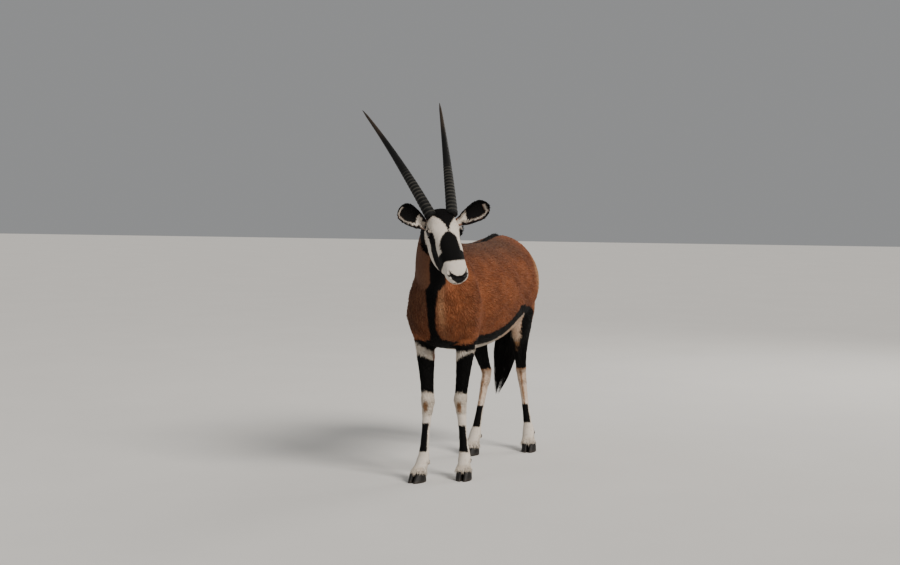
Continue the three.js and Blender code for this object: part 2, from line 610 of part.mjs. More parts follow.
function makeNodes() {
  const nodes = Object.entries(makeFlesh()).map(([name, piece]) => ({
    name, piece, kind: name.endsWith("lower_leg") || name === "tail" ? "darkCoat" : "coat",
  }));
  const put = (name, piece, kind) => nodes.push({ name, piece, kind });
  const around = join([makeSkull(-PARTING), makeNeck(PARTING)]);
  for (const [word, side] of [["left", LEFT], ["right", RIGHT]]) {
    put(`horn_${word}`, largest(makeHorn(side).subtract(around)), "horn");
    put(`ear_${word}`, largest(makeEar(side).subtract(around)), "coat");
    put(`eye_${word}`, makeEye(side), "eye");
  }
  for (const [name, foot] of Object.entries(FEET)) {
    put(`${name}_claw_outer`, makeClaw(foot, foot.side), "claw");
    put(`${name}_claw_inner`, makeClaw(foot, -foot.side), "claw");
  }
  return nodes;
}

// A solid turned back into a mesh with a material of its own.
function meshOf({ name, piece, kind }) {
  const { numProp, vertProperties, triVerts } = piece.getMesh();
  const geometry = new THREE.BufferGeometry();
  geometry.setAttribute("position", new THREE.BufferAttribute(vertProperties, numProp));
  geometry.setIndex(new THREE.BufferAttribute(triVerts, 1));
  geometry.computeVertexNormals();
  const [color, roughness] = MATERIALS[kind];
  const mesh = new THREE.Mesh(geometry, new THREE.MeshStandardMaterial({ color, roughness, metalness: 0 }));
  mesh.name = name;
  return mesh;
}

// The frame's origin is the middle of the box round the whole animal, on the floor.
const group = new THREE.Group();
for (const node of makeNodes()) group.add(meshOf(node));
const middle = new THREE.Box3().setFromObject(group).getCenter(V(0, 0, 0));
for (const mesh of group.children) mesh.geometry.translate(-middle.x, -middle.y, 0);
export default group;
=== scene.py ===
"""Looks of a standing gemsbok: one skin with its coat and markings, long hair, horns, hooves and eyes.

Lengths in the functions are millimetres in the body's own directions unless a name says otherwise:
x to the animal's left, y to its rear, z up, with the origin on the ground under the chest.
"""
import math

import bmesh
import bpy
import numpy as np
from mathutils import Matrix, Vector
from mathutils.bvhtree import BVHTree


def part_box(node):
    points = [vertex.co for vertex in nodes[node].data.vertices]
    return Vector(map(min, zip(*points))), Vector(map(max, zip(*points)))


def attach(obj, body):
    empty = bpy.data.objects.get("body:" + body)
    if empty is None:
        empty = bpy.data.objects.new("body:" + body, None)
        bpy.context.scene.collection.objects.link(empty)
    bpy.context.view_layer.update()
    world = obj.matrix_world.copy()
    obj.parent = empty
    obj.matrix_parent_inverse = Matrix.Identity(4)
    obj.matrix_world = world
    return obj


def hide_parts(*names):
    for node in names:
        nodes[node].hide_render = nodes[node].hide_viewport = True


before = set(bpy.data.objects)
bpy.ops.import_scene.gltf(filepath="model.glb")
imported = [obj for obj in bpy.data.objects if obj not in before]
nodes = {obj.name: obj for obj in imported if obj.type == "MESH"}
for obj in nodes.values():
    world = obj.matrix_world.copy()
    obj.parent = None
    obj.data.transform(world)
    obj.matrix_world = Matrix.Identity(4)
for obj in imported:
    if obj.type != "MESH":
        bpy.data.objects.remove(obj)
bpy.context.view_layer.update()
MM = 0.001
rng = np.random.default_rng(4107)

# Places taken from the solids

TORSO_FRONT = 172
FACE_TURN = math.radians(36.1)
FACE_DROOP = math.radians(47.5)
HEAD_UNIT = 1.1
LEG_SIDES = ("fore_left", "fore_right", "hind_left", "hind_right")


def corners(node):
    low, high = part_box(node)
    return np.array(low), np.array(high)


torso_low, torso_high = corners("torso")
ORIGIN = np.array([(torso_low[0] + torso_high[0]) / 2, torso_low[1] + TORSO_FRONT * MM, 0.0])
eye_left = sum(corners("eye_left")) / 2
eye_right = sum(corners("eye_right")) / 2
EYE_BALLS = (("eye_left", eye_left, 1), ("eye_right", eye_right, -1))
EYE_HEIGHT = 13
EYE_RADIUS = float((corners("eye_left")[1] - corners("eye_left")[0]).max() / 2)


def unit(vector):
    vector = np.asarray(vector, float)
    return vector / np.maximum(np.linalg.norm(vector, axis=-1, keepdims=True), 1e-9)


FACE_SIDE = unit(eye_left - eye_right)
FACE_LEVEL = np.array([math.sin(FACE_TURN), -math.cos(FACE_TURN), 0.0])
FACE_RAISED = unit(np.cross(FACE_LEVEL, FACE_SIDE))
FACE_ALONG = math.cos(FACE_DROOP) * FACE_LEVEL - math.sin(FACE_DROOP) * FACE_RAISED
FACE_DORSAL = unit(np.cross(FACE_ALONG, FACE_SIDE))
EYES = (eye_left + eye_right) / 2 - EYE_HEIGHT * HEAD_UNIT * MM * FACE_DORSAL


def place(*point):
    """Body millimetres to metres in the frame."""
    return ORIGIN + np.array(point, float) * MM


def to_body(points):
    return (points - ORIGIN) / MM


def on_head(along, height, side):
    return EYES + HEAD_UNIT * MM * (along * FACE_ALONG + height * FACE_DORSAL + side * FACE_SIDE)


def to_head(points):
    """Distances along, above and to the left of the eyes, in head units."""
    offset = (points - EYES) / (HEAD_UNIT * MM)
    return offset @ FACE_ALONG, offset @ FACE_DORSAL, offset @ FACE_SIDE


# legs: hoof, fetlock, knee or hock, and top, as in the solids
LEG_LINES = {
    "fore_right": [(-100, -69, 0), (-85, -22, 112), (-66, -6, 405), (-104, 48, 705)],
    "fore_left": [(100, 69, 0), (86, 116, 112), (66, 112, 405), (104, 92, 705)],
    "hind_right": [(-132, 785, 0), (-126, 838, 116), (-97, 938, 446), (-128, 800, 742)],
    "hind_left": [(130, 1012, 0), (110, 1062, 116), (66, 1062, 450), (128, 846, 748)],
}
# neck: centre, and its reach to nape and throat
NECK_LINE = np.array([(0, 95, 985), (1, -18, 1078), (14, -92, 1166), (40, -142, 1246), (70, -180, 1312),
                      (86, -198, 1346)], float)
TAIL_LINE = np.array([(0, 1040, 1112), (0, 1094, 1082), (0, 1136, 1006), (-10, 1152, 880), (-32, 1154, 740),
                      (-52, 1148, 600), (-74, 1140, 450), (-108, 1130, 292)], float)
DOCK = {"root": 26, "end": 9, "share": 0.6}

# Meshes


def put_in_scene(name, data):
    piece = bpy.data.objects.new(name, data)
    bpy.context.scene.collection.objects.link(piece)
    return piece


def shade_smooth(mesh):
    mesh.polygons.foreach_set("use_smooth", np.ones(len(mesh.polygons), bool))


def mesh_object(name, points, faces):
    """A mesh piece from an array of points and one of faces with a fixed number of corners."""
    faces = np.asarray(faces, np.int32)
    mesh = bpy.data.meshes.new(name)
    mesh.vertices.add(len(points))
    mesh.vertices.foreach_set("co", np.asarray(points, np.float32).ravel())
    mesh.loops.add(faces.size)
    mesh.loops.foreach_set("vertex_index", faces.ravel())
    mesh.polygons.add(len(faces))
    mesh.polygons.foreach_set("loop_start", np.arange(0, faces.size, faces.shape[1], dtype=np.int32))
    shade_smooth(mesh)
    mesh.update(calc_edges=True)
    mesh.validate()
    return put_in_scene(name, mesh)


def points_of(mesh):
    points = np.empty(len(mesh.vertices) * 3)
    mesh.vertices.foreach_get("co", points)
    return points.reshape(-1, 3)


def normals_of(mesh):
    normals = np.empty(len(mesh.vertices) * 3)
    mesh.vertex_normals.foreach_get("vector", normals)
    return normals.reshape(-1, 3)


def edges_of(mesh):
    edges = np.empty(len(mesh.edges) * 2, np.int32)
    mesh.edges.foreach_get("vertices", edges)
    return edges.reshape(-1, 2)


def mesh_triangles(mesh):
    mesh.calc_loop_triangles()
    triangles = np.empty(len(mesh.loop_triangles) * 3, np.int32)
    mesh.loop_triangles.foreach_get("vertices", triangles)
    return triangles.reshape(-1, 3)


def move_points(mesh, points):
    mesh.vertices.foreach_set("co", points.astype(np.float32).ravel())
    mesh.update()


def welded_copy(node, swell=0.0):
    """A closed copy of a solid as an edit mesh, swollen a little so that neighbours run together."""
    body = bmesh.new()
    body.from_mesh(nodes[node].data)
    bmesh.ops.remove_doubles(body, verts=body.verts, dist=2e-5)
    bmesh.ops.recalc_face_normals(body, faces=body.faces)
    body.normal_update()
    for vertex in body.verts:
        vertex.co += vertex.normal * swell
    return body


def remeshed(name, bodies, cell):
    """One closed surface of small square cells round several edit meshes."""
    whole = bpy.data.meshes.new(name)
    joined = bmesh.new()
    for body in bodies:
        part = bpy.data.meshes.new("part")
        body.to_mesh(part)
        body.free()
        joined.from_mesh(part)
        bpy.data.meshes.remove(part)
    joined.to_mesh(whole)
    joined.free()
    source = put_in_scene(name, whole)
    cells = source.modifiers.new("cells", "REMESH")
    cells.mode = "VOXEL"
    cells.voxel_size = cell
    graph = bpy.context.evaluated_depsgraph_get()
    mesh = bpy.data.meshes.new_from_object(source.evaluated_get(graph))
    bpy.data.objects.remove(source)
    return mesh


def largest_shell(mesh):
    """Keeps only the surface with most corners, so that no pocket stays inside."""
    edges = edges_of(mesh)
    label = np.arange(len(mesh.vertices))
    while True:
        low = np.minimum(label[edges[:, 0]], label[edges[:, 1]])
        before = label.copy()
        np.minimum.at(label, edges[:, 0], low)
        np.minimum.at(label, edges[:, 1], low)
        label = label[label]
        if (label == before).all():
            break
    names, sizes = np.unique(label, return_counts=True)
    keep = label == names[sizes.argmax()]
    if keep.all():
        return
    body = bmesh.new()
    body.from_mesh(mesh)
    body.verts.ensure_lookup_table()
    bmesh.ops.delete(body, geom=[body.verts[i] for i in np.flatnonzero(~keep)], context="VERTS")
    body.to_mesh(mesh)
    body.free()


def neighbour_mean(points, edges, degree):
    total = np.empty_like(points)
    count = len(points)
    for k in range(points.shape[1]):
        total[:, k] = (np.bincount(edges[:, 0], points[edges[:, 1], k], count)
                       + np.bincount(edges[:, 1], points[edges[:, 0], k], count))
    return total / degree[:, None]


def relax(points, edges, rounds, weight=1.0, inward=0.62, outward=-0.64):
    """Smooths a surface; the second step gives back the volume that the first takes."""
    degree = np.maximum(np.bincount(edges.ravel(), minlength=len(points)), 1)
    weight = np.broadcast_to(weight, len(points))[:, None]
    for _ in range(rounds):
        for step in (inward, outward):
            if step:
                points = points + step * weight * (neighbour_mean(points, edges, degree) - points)
    return points


def blurred(values, edges, rounds):
    """One number for each point, evened out along the surface."""
    return relax(values[:, None], edges, rounds, inward=0.6, outward=0)[:, 0]


def bell(value, middle, width):
    return np.exp(-((value - middle) / width) ** 2)


def ramp(value, low, high):
    """0 below low, 1 above high, eased between."""
    share = np.clip((value - low) / (high - low), 0, 1)
    return share * share * (3 - 2 * share)


def read_off(table, value, column=1):
    """A value between the rows of a table whose first column rises."""
    return np.interp(value, table[:, 0], table[:, column])


def named(part_names, start="", end=""):
    """Which parts have a name with this start and end."""
    names = part_names.astype(str)
    return np.char.startswith(names, start) & np.char.endswith(names, end)


def along_line(points, line):
    """For each point the nearest place on a line of points: its share from 0 to 1, and that place."""
    best = np.full(len(points), np.inf)
    share = np.zeros(len(points))
    nearest = np.zeros((len(points), 3))
    line = np.asarray(line, float)
    lengths = np.linalg.norm(np.diff(line, axis=0), axis=1)
    starts = np.concatenate([[0], np.cumsum(lengths)])
    for i, (a, b) in enumerate(zip(line[:-1], line[1:])):
        t = np.clip((points - a) @ (b - a) / lengths[i] ** 2, 0, 1)
        spot = a + t[:, None] * (b - a)
        gap = ((points - spot) ** 2).sum(1)
        closer = gap < best
        best[closer] = gap[closer]
        share[closer] = (starts[i] + t[closer] * lengths[i]) / starts[-1]
        nearest[closer] = spot[closer]
    return share, nearest


def smooth_line(line, count):
    """A finer line through the given points, rounded at each."""
    line = np.asarray(line, float)
    ends = np.vstack([2 * line[0] - line[1], line, 2 * line[-1] - line[-2]])
    steps = np.linspace(0, len(line) - 1, count)
    index = np.minimum(steps.astype(int), len(line) - 2)
    t = (steps - index)[:, None]
    a, b, c, d = (ends[index + k] for k in range(4))
    return 0.5 * (2 * b + (c - a) * t + (2 * a - 5 * b + 4 * c - d) * t ** 2
                  + (3 * b - a - 3 * c + d) * t ** 3)


def ring_faces(rows, sides):
    """Four-cornered faces between rings of points, and the fans that close the first and the last ring.

    The middles of the two ends are the points after the last ring.
    """
    k = np.arange(sides)
    n = (k + 1) % sides
    last = (rows - 1) * sides
    middle = np.full(sides, rows * sides)
    quads = [np.stack([r + k, r + n, r + sides + n, r + sides + k], 1) for r in range(0, last, sides)]
    caps = [np.stack([n, k, middle], 1), np.stack([last + k, last + n, middle + 1], 1)]
    return np.vstack(quads), np.vstack(caps)


def ring_triangles(rows, sides):
    quads, caps = ring_faces(rows, sides)
    return np.vstack([quads[:, [0, 1, 2]], quads[:, [0, 2, 3]], caps])


def tube_body(line, radii, sides):
    """An edit mesh of rings round a line of points, closed at both ends."""
    heading = unit(np.gradient(line, axis=0))
    angle = np.linspace(0, 2 * math.pi, sides, endpoint=False)[:, None]
    across = np.array([1.0, 0.0, 0.0])
    points = []
    for spot, way, radius in zip(line, heading, radii):
        across = unit(across - way * (across @ way))
        up = np.cross(way, across)
        points.append(spot + radius * (np.cos(angle) * across + np.sin(angle) * up))
    quads, caps = ring_faces(len(line), sides)
    body = bmesh.new()
    made = [body.verts.new(point) for point in np.vstack(points + [line[:1], line[-1:]])]
    for face in [*quads, *caps]:
        body.faces.new([made[i] for i in face])
    bmesh.ops.recalc_face_normals(body, faces=body.faces)
    return body


# The skin's shape

BODY_CELL = 0.009
BODY_SWELL = 0.0006
STRAY = 0.02
LEG_NODES = [f"{side}_{length}_leg" for side in LEG_SIDES for length in ("upper", "lower")]
FLESH = ["torso", "neck", "head", *LEG_NODES]


def tree_of(names):
    """One search tree round several solids, and the solid of each of its faces."""
    points, faces, owner = [], [], []
    start = 0
    for i, name in enumerate(names):
        mesh = nodes[name].data
        triangles = mesh_triangles(mesh)
        points.append(points_of(mesh))
        faces.append(triangles + start)
        owner.append(np.full(len(triangles), i))
        start += len(mesh.vertices)
    tree = BVHTree.FromPolygons(np.vstack(points).tolist(), np.vstack(faces).tolist())
    return tree, np.concatenate(owner)


SKIN_SOLIDS = np.array([*FLESH, "tail"])
skin_tree, skin_owner = tree_of(SKIN_SOLIDS.tolist())


def nearest_part(points):
    """The name of the solid that is nearest to each point."""
    return SKIN_SOLIDS[skin_owner[[skin_tree.find_nearest(point)[2] for point in points.tolist()]]]


def subdivide_where(mesh, test):
    """Cuts in four the faces whose middle passes a test on an array of points."""
    body = bmesh.new()
    body.from_mesh(mesh)
    middles = np.array([face.calc_center_median() for face in body.faces])
    chosen = test(middles)
    body.faces.ensure_lookup_table()
    edges = {edge for i in np.flatnonzero(chosen) for edge in body.faces[i].edges}
    bmesh.ops.subdivide_edges(body, edges=list(edges), cuts=1, use_grid_fill=True)
    body.to_mesh(mesh)
    body.free()
    mesh.update()


def nearest_on(points, tree, chosen):
    """Moves chosen points onto a solid's surface."""
    moved = points.copy()
    for i in np.flatnonzero(chosen):
        moved[i] = tree.find_nearest(points[i])[0]
    return moved


def eye_frame(side):
    """Directions of one eye: forward along the face, up, and out."""
    out = unit(side * FACE_SIDE * 0.9 + FACE_DORSAL * 0.16 + FACE_ALONG * 0.12)
    forward = unit(FACE_ALONG - out * (FACE_ALONG @ out))
    up = np.cross(out, forward)
    if up @ FACE_DORSAL < 0:
        up = -up
    return forward, up, out


def eye_places(points, centre, side):
    """Millimetres from an eye's middle as one vector, and forward, up and out."""
    offset = (points - centre) / MM
    return (offset, *(offset @ way for way in eye_frame(side)))


def mouth_height(along):
    """Height of the line between the lips, from the corner of the mouth to the front."""
    return -17 - 9 * ramp(along, 215, 262) + 5 * ramp(along, 200, 176)


# half the opening between the lids: its length, and its height above and below the middle
LID_OPENING = (17.5, 11.0, 9.0)


def shape_eye_rims(points, centre, side):
    """Opens the lids over one eye, with a thick rim that lies on the ball."""
    half_long, above, below = LID_OPENING
    offset, u, v, w = eye_places(points, centre, side)
    distance = np.linalg.norm(offset, axis=1)
    near = (distance < 42) & (w > 0)
    ball = EYE_RADIUS / MM
    opening = np.sqrt((u / half_long) ** 2 + (v / np.where(v > 0, above, below)) ** 2)
    inside = near & (opening < 1)
    rim = near & (opening >= 1)
    reach = distance.copy()
    reach[inside] = np.minimum(distance, ball - 3.5)[inside]
    lid = ball + 0.6 + 3.0 * np.exp(-((opening - 1.16) / 0.2) ** 2) + 1.2 * np.exp(-(opening - 1) * 2)
    fade = np.exp(-np.maximum(opening - 1.1, 0) * 1.6)
    reach[rim] = (distance + np.maximum(lid - distance, -1.5) * fade)[rim]
    return centre + (offset / distance[:, None] * reach[:, None]) * MM


# brow, tear line, cheek bone and the hollow in front of it: how far out, then the middle and reach along
# and in height, then the distances from the middle of the face over which the form sets in
FACE_FORMS = (
    (3.0, -6, 26, 44, 9, 30, 50),
    (-2.6, 42, 22, 8, 9, 30, 45),
    (3.2, 62, 40, -14, 11, 20, 40),
    (-2.4, 108, 34, -30, 16, 20, 40),
)
# shoulder, the hollow behind it, elbow, flank, hip, thigh and the hollow behind it: how far out, then the
# middle and reach to the rear and in height, then the slant of the form
BODY_FORMS = (
    (7.0, 81, 42, 920, 160, 0.30),
    (-9.0, 184, 40, 870, 130, 0.20),
    (5.0, 10, 60, 800, 60, 0),
    (-9.0, 640, 80, 1010, 90, 0),
    (7.0, 745, 55, 1120, 48, 0),
    (6.0, 860, 80, 900, 110, 0),
    (-6.0, 965, 40, 850, 120, 0),
)
RIBS = {"out": 1.3, "pitch": 17.0, "along": (400, 150), "height": (900, 110)}


def shape_face(points, normals):
    """Lips, nostrils and the small forms of the face, as moves along the surface's own direction."""
    a, h, s = to_head(points)
    size = np.abs(s)
    front = ramp(a, 160, 190)
    gap = h - mouth_height(a)
    move = -3.4 * front * np.exp(-(gap / 2.6) ** 2) * ramp(size, 2, 8)
    move += 1.6 * front * np.exp(-((gap - 7) / 5) ** 2) + 1.2 * front * np.exp(-((gap + 7) / 5) ** 2)
    # nostril: a comma that opens forward and curls up at its rear
    turn = np.clip((a - 228) / 30, 0, 1)
    nostril = np.sqrt(((a - 244) / 12.5) ** 2 + ((h - (21 - 9 * turn)) / 4.2) ** 2)
    move -= 7.0 * np.exp(-nostril ** 2) * ramp(size, 16, 23)
    move += 2.0 * np.exp(-((nostril - 1.9) / 0.6) ** 2) * ramp(size, 16, 23)
    for out, along, long, height, tall, sets_in, full in FACE_FORMS:
        move += out * bell(a, along, long) * bell(h, height, tall) * ramp(size, sets_in, full)
    return points + normals * (move * MM)[:, None]


def shape_body(points, normals, part_names):
    """Muscle and bone under the coat of the trunk."""
    x, y, z = to_body(points).T
    move = RIBS["out"] * np.sin(y / RIBS["pitch"]) * bell(y, *RIBS["along"]) * bell(z, *RIBS["height"])
    for out, rear, long, height, tall, slant in BODY_FORMS:
        move += out * bell(y + slant * (z - height), rear, long) * bell(z, height, tall)
    move *= ramp(np.abs(x), 40, 110) * (part_names == "torso")
    return points + normals * (move * MM)[:, None]


def coat_depth(points, part_names):
    """How far the skin lies inside the solid, in metres."""
    depth = np.full(len(points), 6.0)
    depth[part_names == "head"] = 2.6
    depth[part_names == "neck"] = 7.0
    z = to_body(points)[:, 2]
    leg = named(part_names, end="_leg")
    depth[leg] = (1.6 + 3.0 * ramp(z, 300, 640))[leg]
    return depth * MM


def dock_body():
    """The fleshy part of the tail, as a tube round the start of the tail's line."""
    line = smooth_line(TAIL_LINE, 60)
    line = line[:int(60 * DOCK["share"])]
    share = np.linspace(0, 1, len(line))
    radii = (DOCK["root"] + (DOCK["end"] - DOCK["root"]) * share) * MM
    return tube_body(ORIGIN + line * MM, radii, 16)


def smooth_trunk(points, edges):
    """Rounds off the facets, and takes away the solids' combed-up hair, which is a piece of its own."""
    part_names = nearest_part(points)
    p = to_body(points)
    _, neck_spot = along_line(p, NECK_LINE)
    nape = (part_names == "neck") & (p[:, 1] > neck_spot[:, 1] + 20) & (np.abs(p - neck_spot)[:, 0] < 75)
    back = (np.abs(p[:, 0]) < 70) & (p[:, 2] > 1150) & (p[:, 1] > 560) & (p[:, 1] < 860)
    points = relax(points, edges, 60, (nape | back) * 0.9, inward=0.6, outward=0)
    trunk = np.isin(part_names, ["torso", "neck"])
    weight = np.where(trunk, 1.0, np.where(part_names == "head", 0.12, 0.30))
    return relax(points, edges, 110, blurred(weight, edges, 6))


def on_face(points):
    a, h, s = to_head(points)
    return (a > -95) & (a < 280) & (np.abs(s) < 95) & (h > -150) & (h < 90)


def fine_parts(points):
    """The places by the eyes and on the muzzle that need the smallest cells."""
    a, _, s = to_head(points)
    by_eyes = np.minimum(np.linalg.norm(points - eye_left, axis=1),
                         np.linalg.norm(points - eye_right, axis=1)) < 0.044
    muzzle = (a > 168) & (a < 290) & (np.abs(s) < 80)
    return by_eyes | muzzle


def refine_face(mesh):
    """Finer cells on the head, back on the solid's own surface."""
    subdivide_where(mesh, on_face)
    points = points_of(mesh)
    a, _, _ = to_head(points)
    hold = ramp(a, -70, -40)
    face = (hold > 0) & on_face(points)
    moved = nearest_on(points, tree_of(["head"])[0], face)
    far = np.linalg.norm(moved - points, axis=1) > STRAY
    points = points + np.where(face & ~far, hold, 0)[:, None] * (moved - points)
    move_points(mesh, relax(points, edges_of(mesh), 8, ramp(a, -90, -70) * 0.9))
    subdivide_where(mesh, fine_parts)
    points = points_of(mesh)
    points = relax(points, edges_of(mesh), 6, fine_parts(points) * 0.9)
    move_points(mesh, points)
    return points


def make_skin():
    mesh = remeshed("skin", [welded_copy(name, BODY_SWELL) for name in FLESH] + [dock_body()], BODY_CELL)
    largest_shell(mesh)
    move_points(mesh, smooth_trunk(points_of(mesh), edges_of(mesh)))
    points = refine_face(mesh)
    normals = normals_of(mesh)
    part_names = nearest_part(points)
    points = shape_body(points, normals, part_names)
    depth = blurred(coat_depth(points, part_names), edges_of(mesh), 10)
    points = shape_face(points - normals * depth[:, None], normals)
    for _, centre, side in EYE_BALLS:
        points = shape_eye_rims(points, centre, side)
    move_points(mesh, points)
    shade_smooth(mesh)
    return put_in_scene("skin", mesh)


# Markings


def band(value, low, high):
    """How far inside an interval each value lies; negative outside."""
    return np.minimum(value - low, high - value)


def polygon_distance(u, v, outline):
    """How far inside a closed outline in a plane each point lies; negative outside."""
    outline = np.asarray(outline, float)
    inside = np.zeros(len(u), bool)
    nearest = np.full(len(u), np.inf)
    for (u0, v0), (u1, v1) in zip(outline, np.roll(outline, -1, axis=0)):
        du, dv = u1 - u0, v1 - v0
        share = np.clip(((u - u0) * du + (v - v0) * dv) / (du * du + dv * dv), 0, 1)
        nearest = np.minimum(nearest, np.hypot(u - u0 - share * du, v - v0 - share * dv))
        if dv:
            inside ^= ((v0 > v) != (v1 > v)) & (u < du * (v - v0) / dv + u0)
    return np.where(inside, nearest, -nearest)


# outlines on the face, in head units: (along, distance from the middle) above, (along, height) at the side
BLAZE = [(-128, -40), (-128, 60), (-84, 58), (-61, 48), (-45, 39), (-27, 28), (-14, 20), (0, 12), (8, 9),
         (25, 4), (34, 3.5), (37, 13), (50, 28), (65, 38), (82, 42), (112, 44), (144, 43), (181, 40),
         (184, -40)]
BLAZE_MIDDLE = np.array([(-80, 9), (-40, 12), (20, 7), (50, 0), (100, -6), (180, -4)], float)
EYE_STRIPE_TOP = [(-100, -6), (-60, 4), (-35, 16), (-17, 27), (15, 35), (46, 24), (75, 10), (107, 0),
                  (121, -4), (126, 20), (128, 90)]
CHEEK = [(-66, 4), (-12, 6), (29, -29), (68, -52), (104, -64), (136, -70), (134, -84), (96, -96), (50, -100),
         (8, -92), (-24, -76), (-62, -44)]
MUZZLE_EDGE = np.array([(-120, 160), (-44, 166), (1, 180), (23, 174), (30, 178), (43, 189), (90, 192)], float)
NOSE_PAD = [(42, 24), (29, 23), (13, 17), (-7, 17), (-24, 24), (-36, 25), (-34, 10), (-18, -10), (-5, -22),
            (10, -24), (24, -15), (39, 8)]
# flank and thigh, in body millimetres: (to the rear, up) on the left side
FLANK_TOP = np.array([(-40, 684), (40, 694), (84, 712), (116, 736), (255, 730), (338, 740), (436, 762),
                      (507, 793), (568, 829), (609, 860)], float)
FLANK_DEPTH = np.array([(-40, 30), (95, 42), (340, 64), (450, 76), (600, 84), (700, 60)], float)
THIGH = [(590, 858), (640, 852), (685, 849), (780, 843), (862, 828), (890, 795), (905, 754), (935, 690),
         (985, 620), (1040, 560), (1100, 468), (860, 468), (890, 580), (837, 643), (807, 690), (800, 735),
         (789, 784), (740, 802), (700, 812), (640, 795)]
# chest stripe: height, middle to the left, half its width
CHEST_STRIPE = np.array([(655, 0, 118), (704, 4, 112), (718, 8, 72), (732, 14, 34), (752, 19, 22),
                         (786, 17, 19), (837, 18, 20), (887, 18, 23), (937, 18, 28), (976, 20, 33),
                         (1011, 25, 38), (1060, 26, 42)], float)
# heights of the marks on each leg: garter, knee white, knee spot, blaze down the cannon
LEG_MARKS = {
    "fore_right": {"patch": 684, "patch_slant": 26, "garter": (446, 626), "slant": 14, "spot": (350, 412),
                   "blaze": (150, 296), "blaze_turn": 0.3},
    "fore_left": {"patch": 658, "patch_slant": 6, "garter": (436, 622), "slant": 30, "spot": (336, 398),
                  "blaze": (138, 274)},
    "hind_right": {"blaze": (150, 268)},
    "hind_left": {"blaze": (158, 264)},
}
CUFF = 34
# how far white runs on under the edge of a black mark
UNDERLAP = 7
# how far a place is from a mark that isn't there
FAR_OUT = -80.0
# a place well inside black, for hair that is black all over
ALL_BLACK = 40.0
# the height above which a hind leg has the trunk's marks and lie of hair
THIGH_FOOT = 640
# height, and how far forward the right thigh is of the left one
THIGH_SHIFT = np.array([(450, -124), (748, -46), (860, 0)], float)


def face_marks(a, h, s):
    """The white of the face and the bare black of nose and lips, from places in head units."""
    size = np.abs(s)
    off_middle = np.abs(s - read_off(BLAZE_MIDDLE, a))
    blaze = np.minimum(polygon_distance(a, off_middle, BLAZE), h - 8)
    below_stripe = polygon_distance(a, h, EYE_STRIPE_TOP + [(400, 90), (400, -400), (-100, -400)])
    upper = np.minimum(-blaze, -below_stripe)
    cheek = np.minimum(polygon_distance(a, h, CHEEK), size - 28)
    muzzle = a - read_off(MUZZLE_EDGE, h)
    pad = np.minimum(polygon_distance(s, h, NOSE_PAD), a - 222)
    lips = np.minimum(2.0 - np.abs(h - mouth_height(a)), a - 178)
    nostril = np.minimum(4.5 - np.hypot((a - 246) * 0.6, h - 14), size - 18)
    black_nose = np.maximum(np.maximum(pad, lips), nostril)
    white = np.maximum(np.maximum(upper, cheek), np.minimum(muzzle, -black_nose))
    return white, black_nose


def leg_frame(p, side):
    """Height, angle from the front turned outward, and radius round one leg's line."""
    line = np.array(LEG_LINES[side], float)
    heights = line[:, 2]
    centre_x = np.interp(p[:, 2], heights, line[:, 0])
    centre_y = np.interp(p[:, 2], heights, line[:, 1])
    outward = 1 if side.endswith("left") else -1
    dx, dy = (p[:, 0] - centre_x) * outward, p[:, 1] - centre_y
    return p[:, 2], np.arctan2(dx, -dy), np.hypot(dx, dy)


def leg_marks(p, side):
    """Black, white and brown spot on one leg."""
    z, angle, radius = leg_frame(p, side)
    marks = LEG_MARKS[side]
    girth = np.clip(radius, 22, 80)
    front = (math.radians(78) - np.abs(angle - marks.get("blaze_turn", 0))) * girth
    blaze = np.minimum(front, band(z, *marks["blaze"]))
    if side.startswith("fore"):
        low, high = marks["garter"]
        outer = np.sin(angle)
        climb = 70 * ramp(angle, 1.6, 2.3) * ramp(angle, 3.14, 2.5)
        garter = band(z - 7 * np.cos(angle), low + climb, high + marks["slant"] * outer)
        spot = 14 - np.hypot(angle * girth, (z - sum(marks["spot"]) / 2) * 0.5)
        patch_top = marks["patch"] + marks["patch_slant"] * outer
        patch = np.minimum(band(z, high - 30, patch_top), (2.1 - np.abs(angle - 0.8)) * girth)
        cuff = np.minimum(band(z, patch_top, patch_top + CUFF), (1.9 - np.abs(angle)) * girth)
        pale = np.where(z > high - 30, patch + UNDERLAP, 50.0)
        return np.maximum.reduce([garter, blaze, cuff]), pale, spot
    side_y = read_off(THIGH_SHIFT, z) if side == "hind_right" else 0
    gaskin = polygon_distance(p[:, 1] - side_y, z, THIGH)
    strip = np.minimum(6 - np.abs(angle - 0.2) * girth, band(z, marks["blaze"][1] - 10, 470))
    return np.maximum(gaskin, blaze), 462 - z, strip


def throat_stripe(p):
    """The stripe down the throat, the distance to the left of the neck's middle, and the share up it."""
    share, spot_at = along_line(p, NECK_LINE)
    way = unit(np.array([1.0, 0, 0]) * (1 - share)[:, None] + FACE_SIDE * share[:, None])
    lateral = ((p - spot_at) * way).sum(1) - 22 * (1 - ramp(share, 0, 0.8))
    throatward = np.where(share < 0.9, -(p[:, 1] - spot_at[:, 1]) - 20, 10)
    return np.minimum(39 - np.abs(lateral), throatward), lateral, share


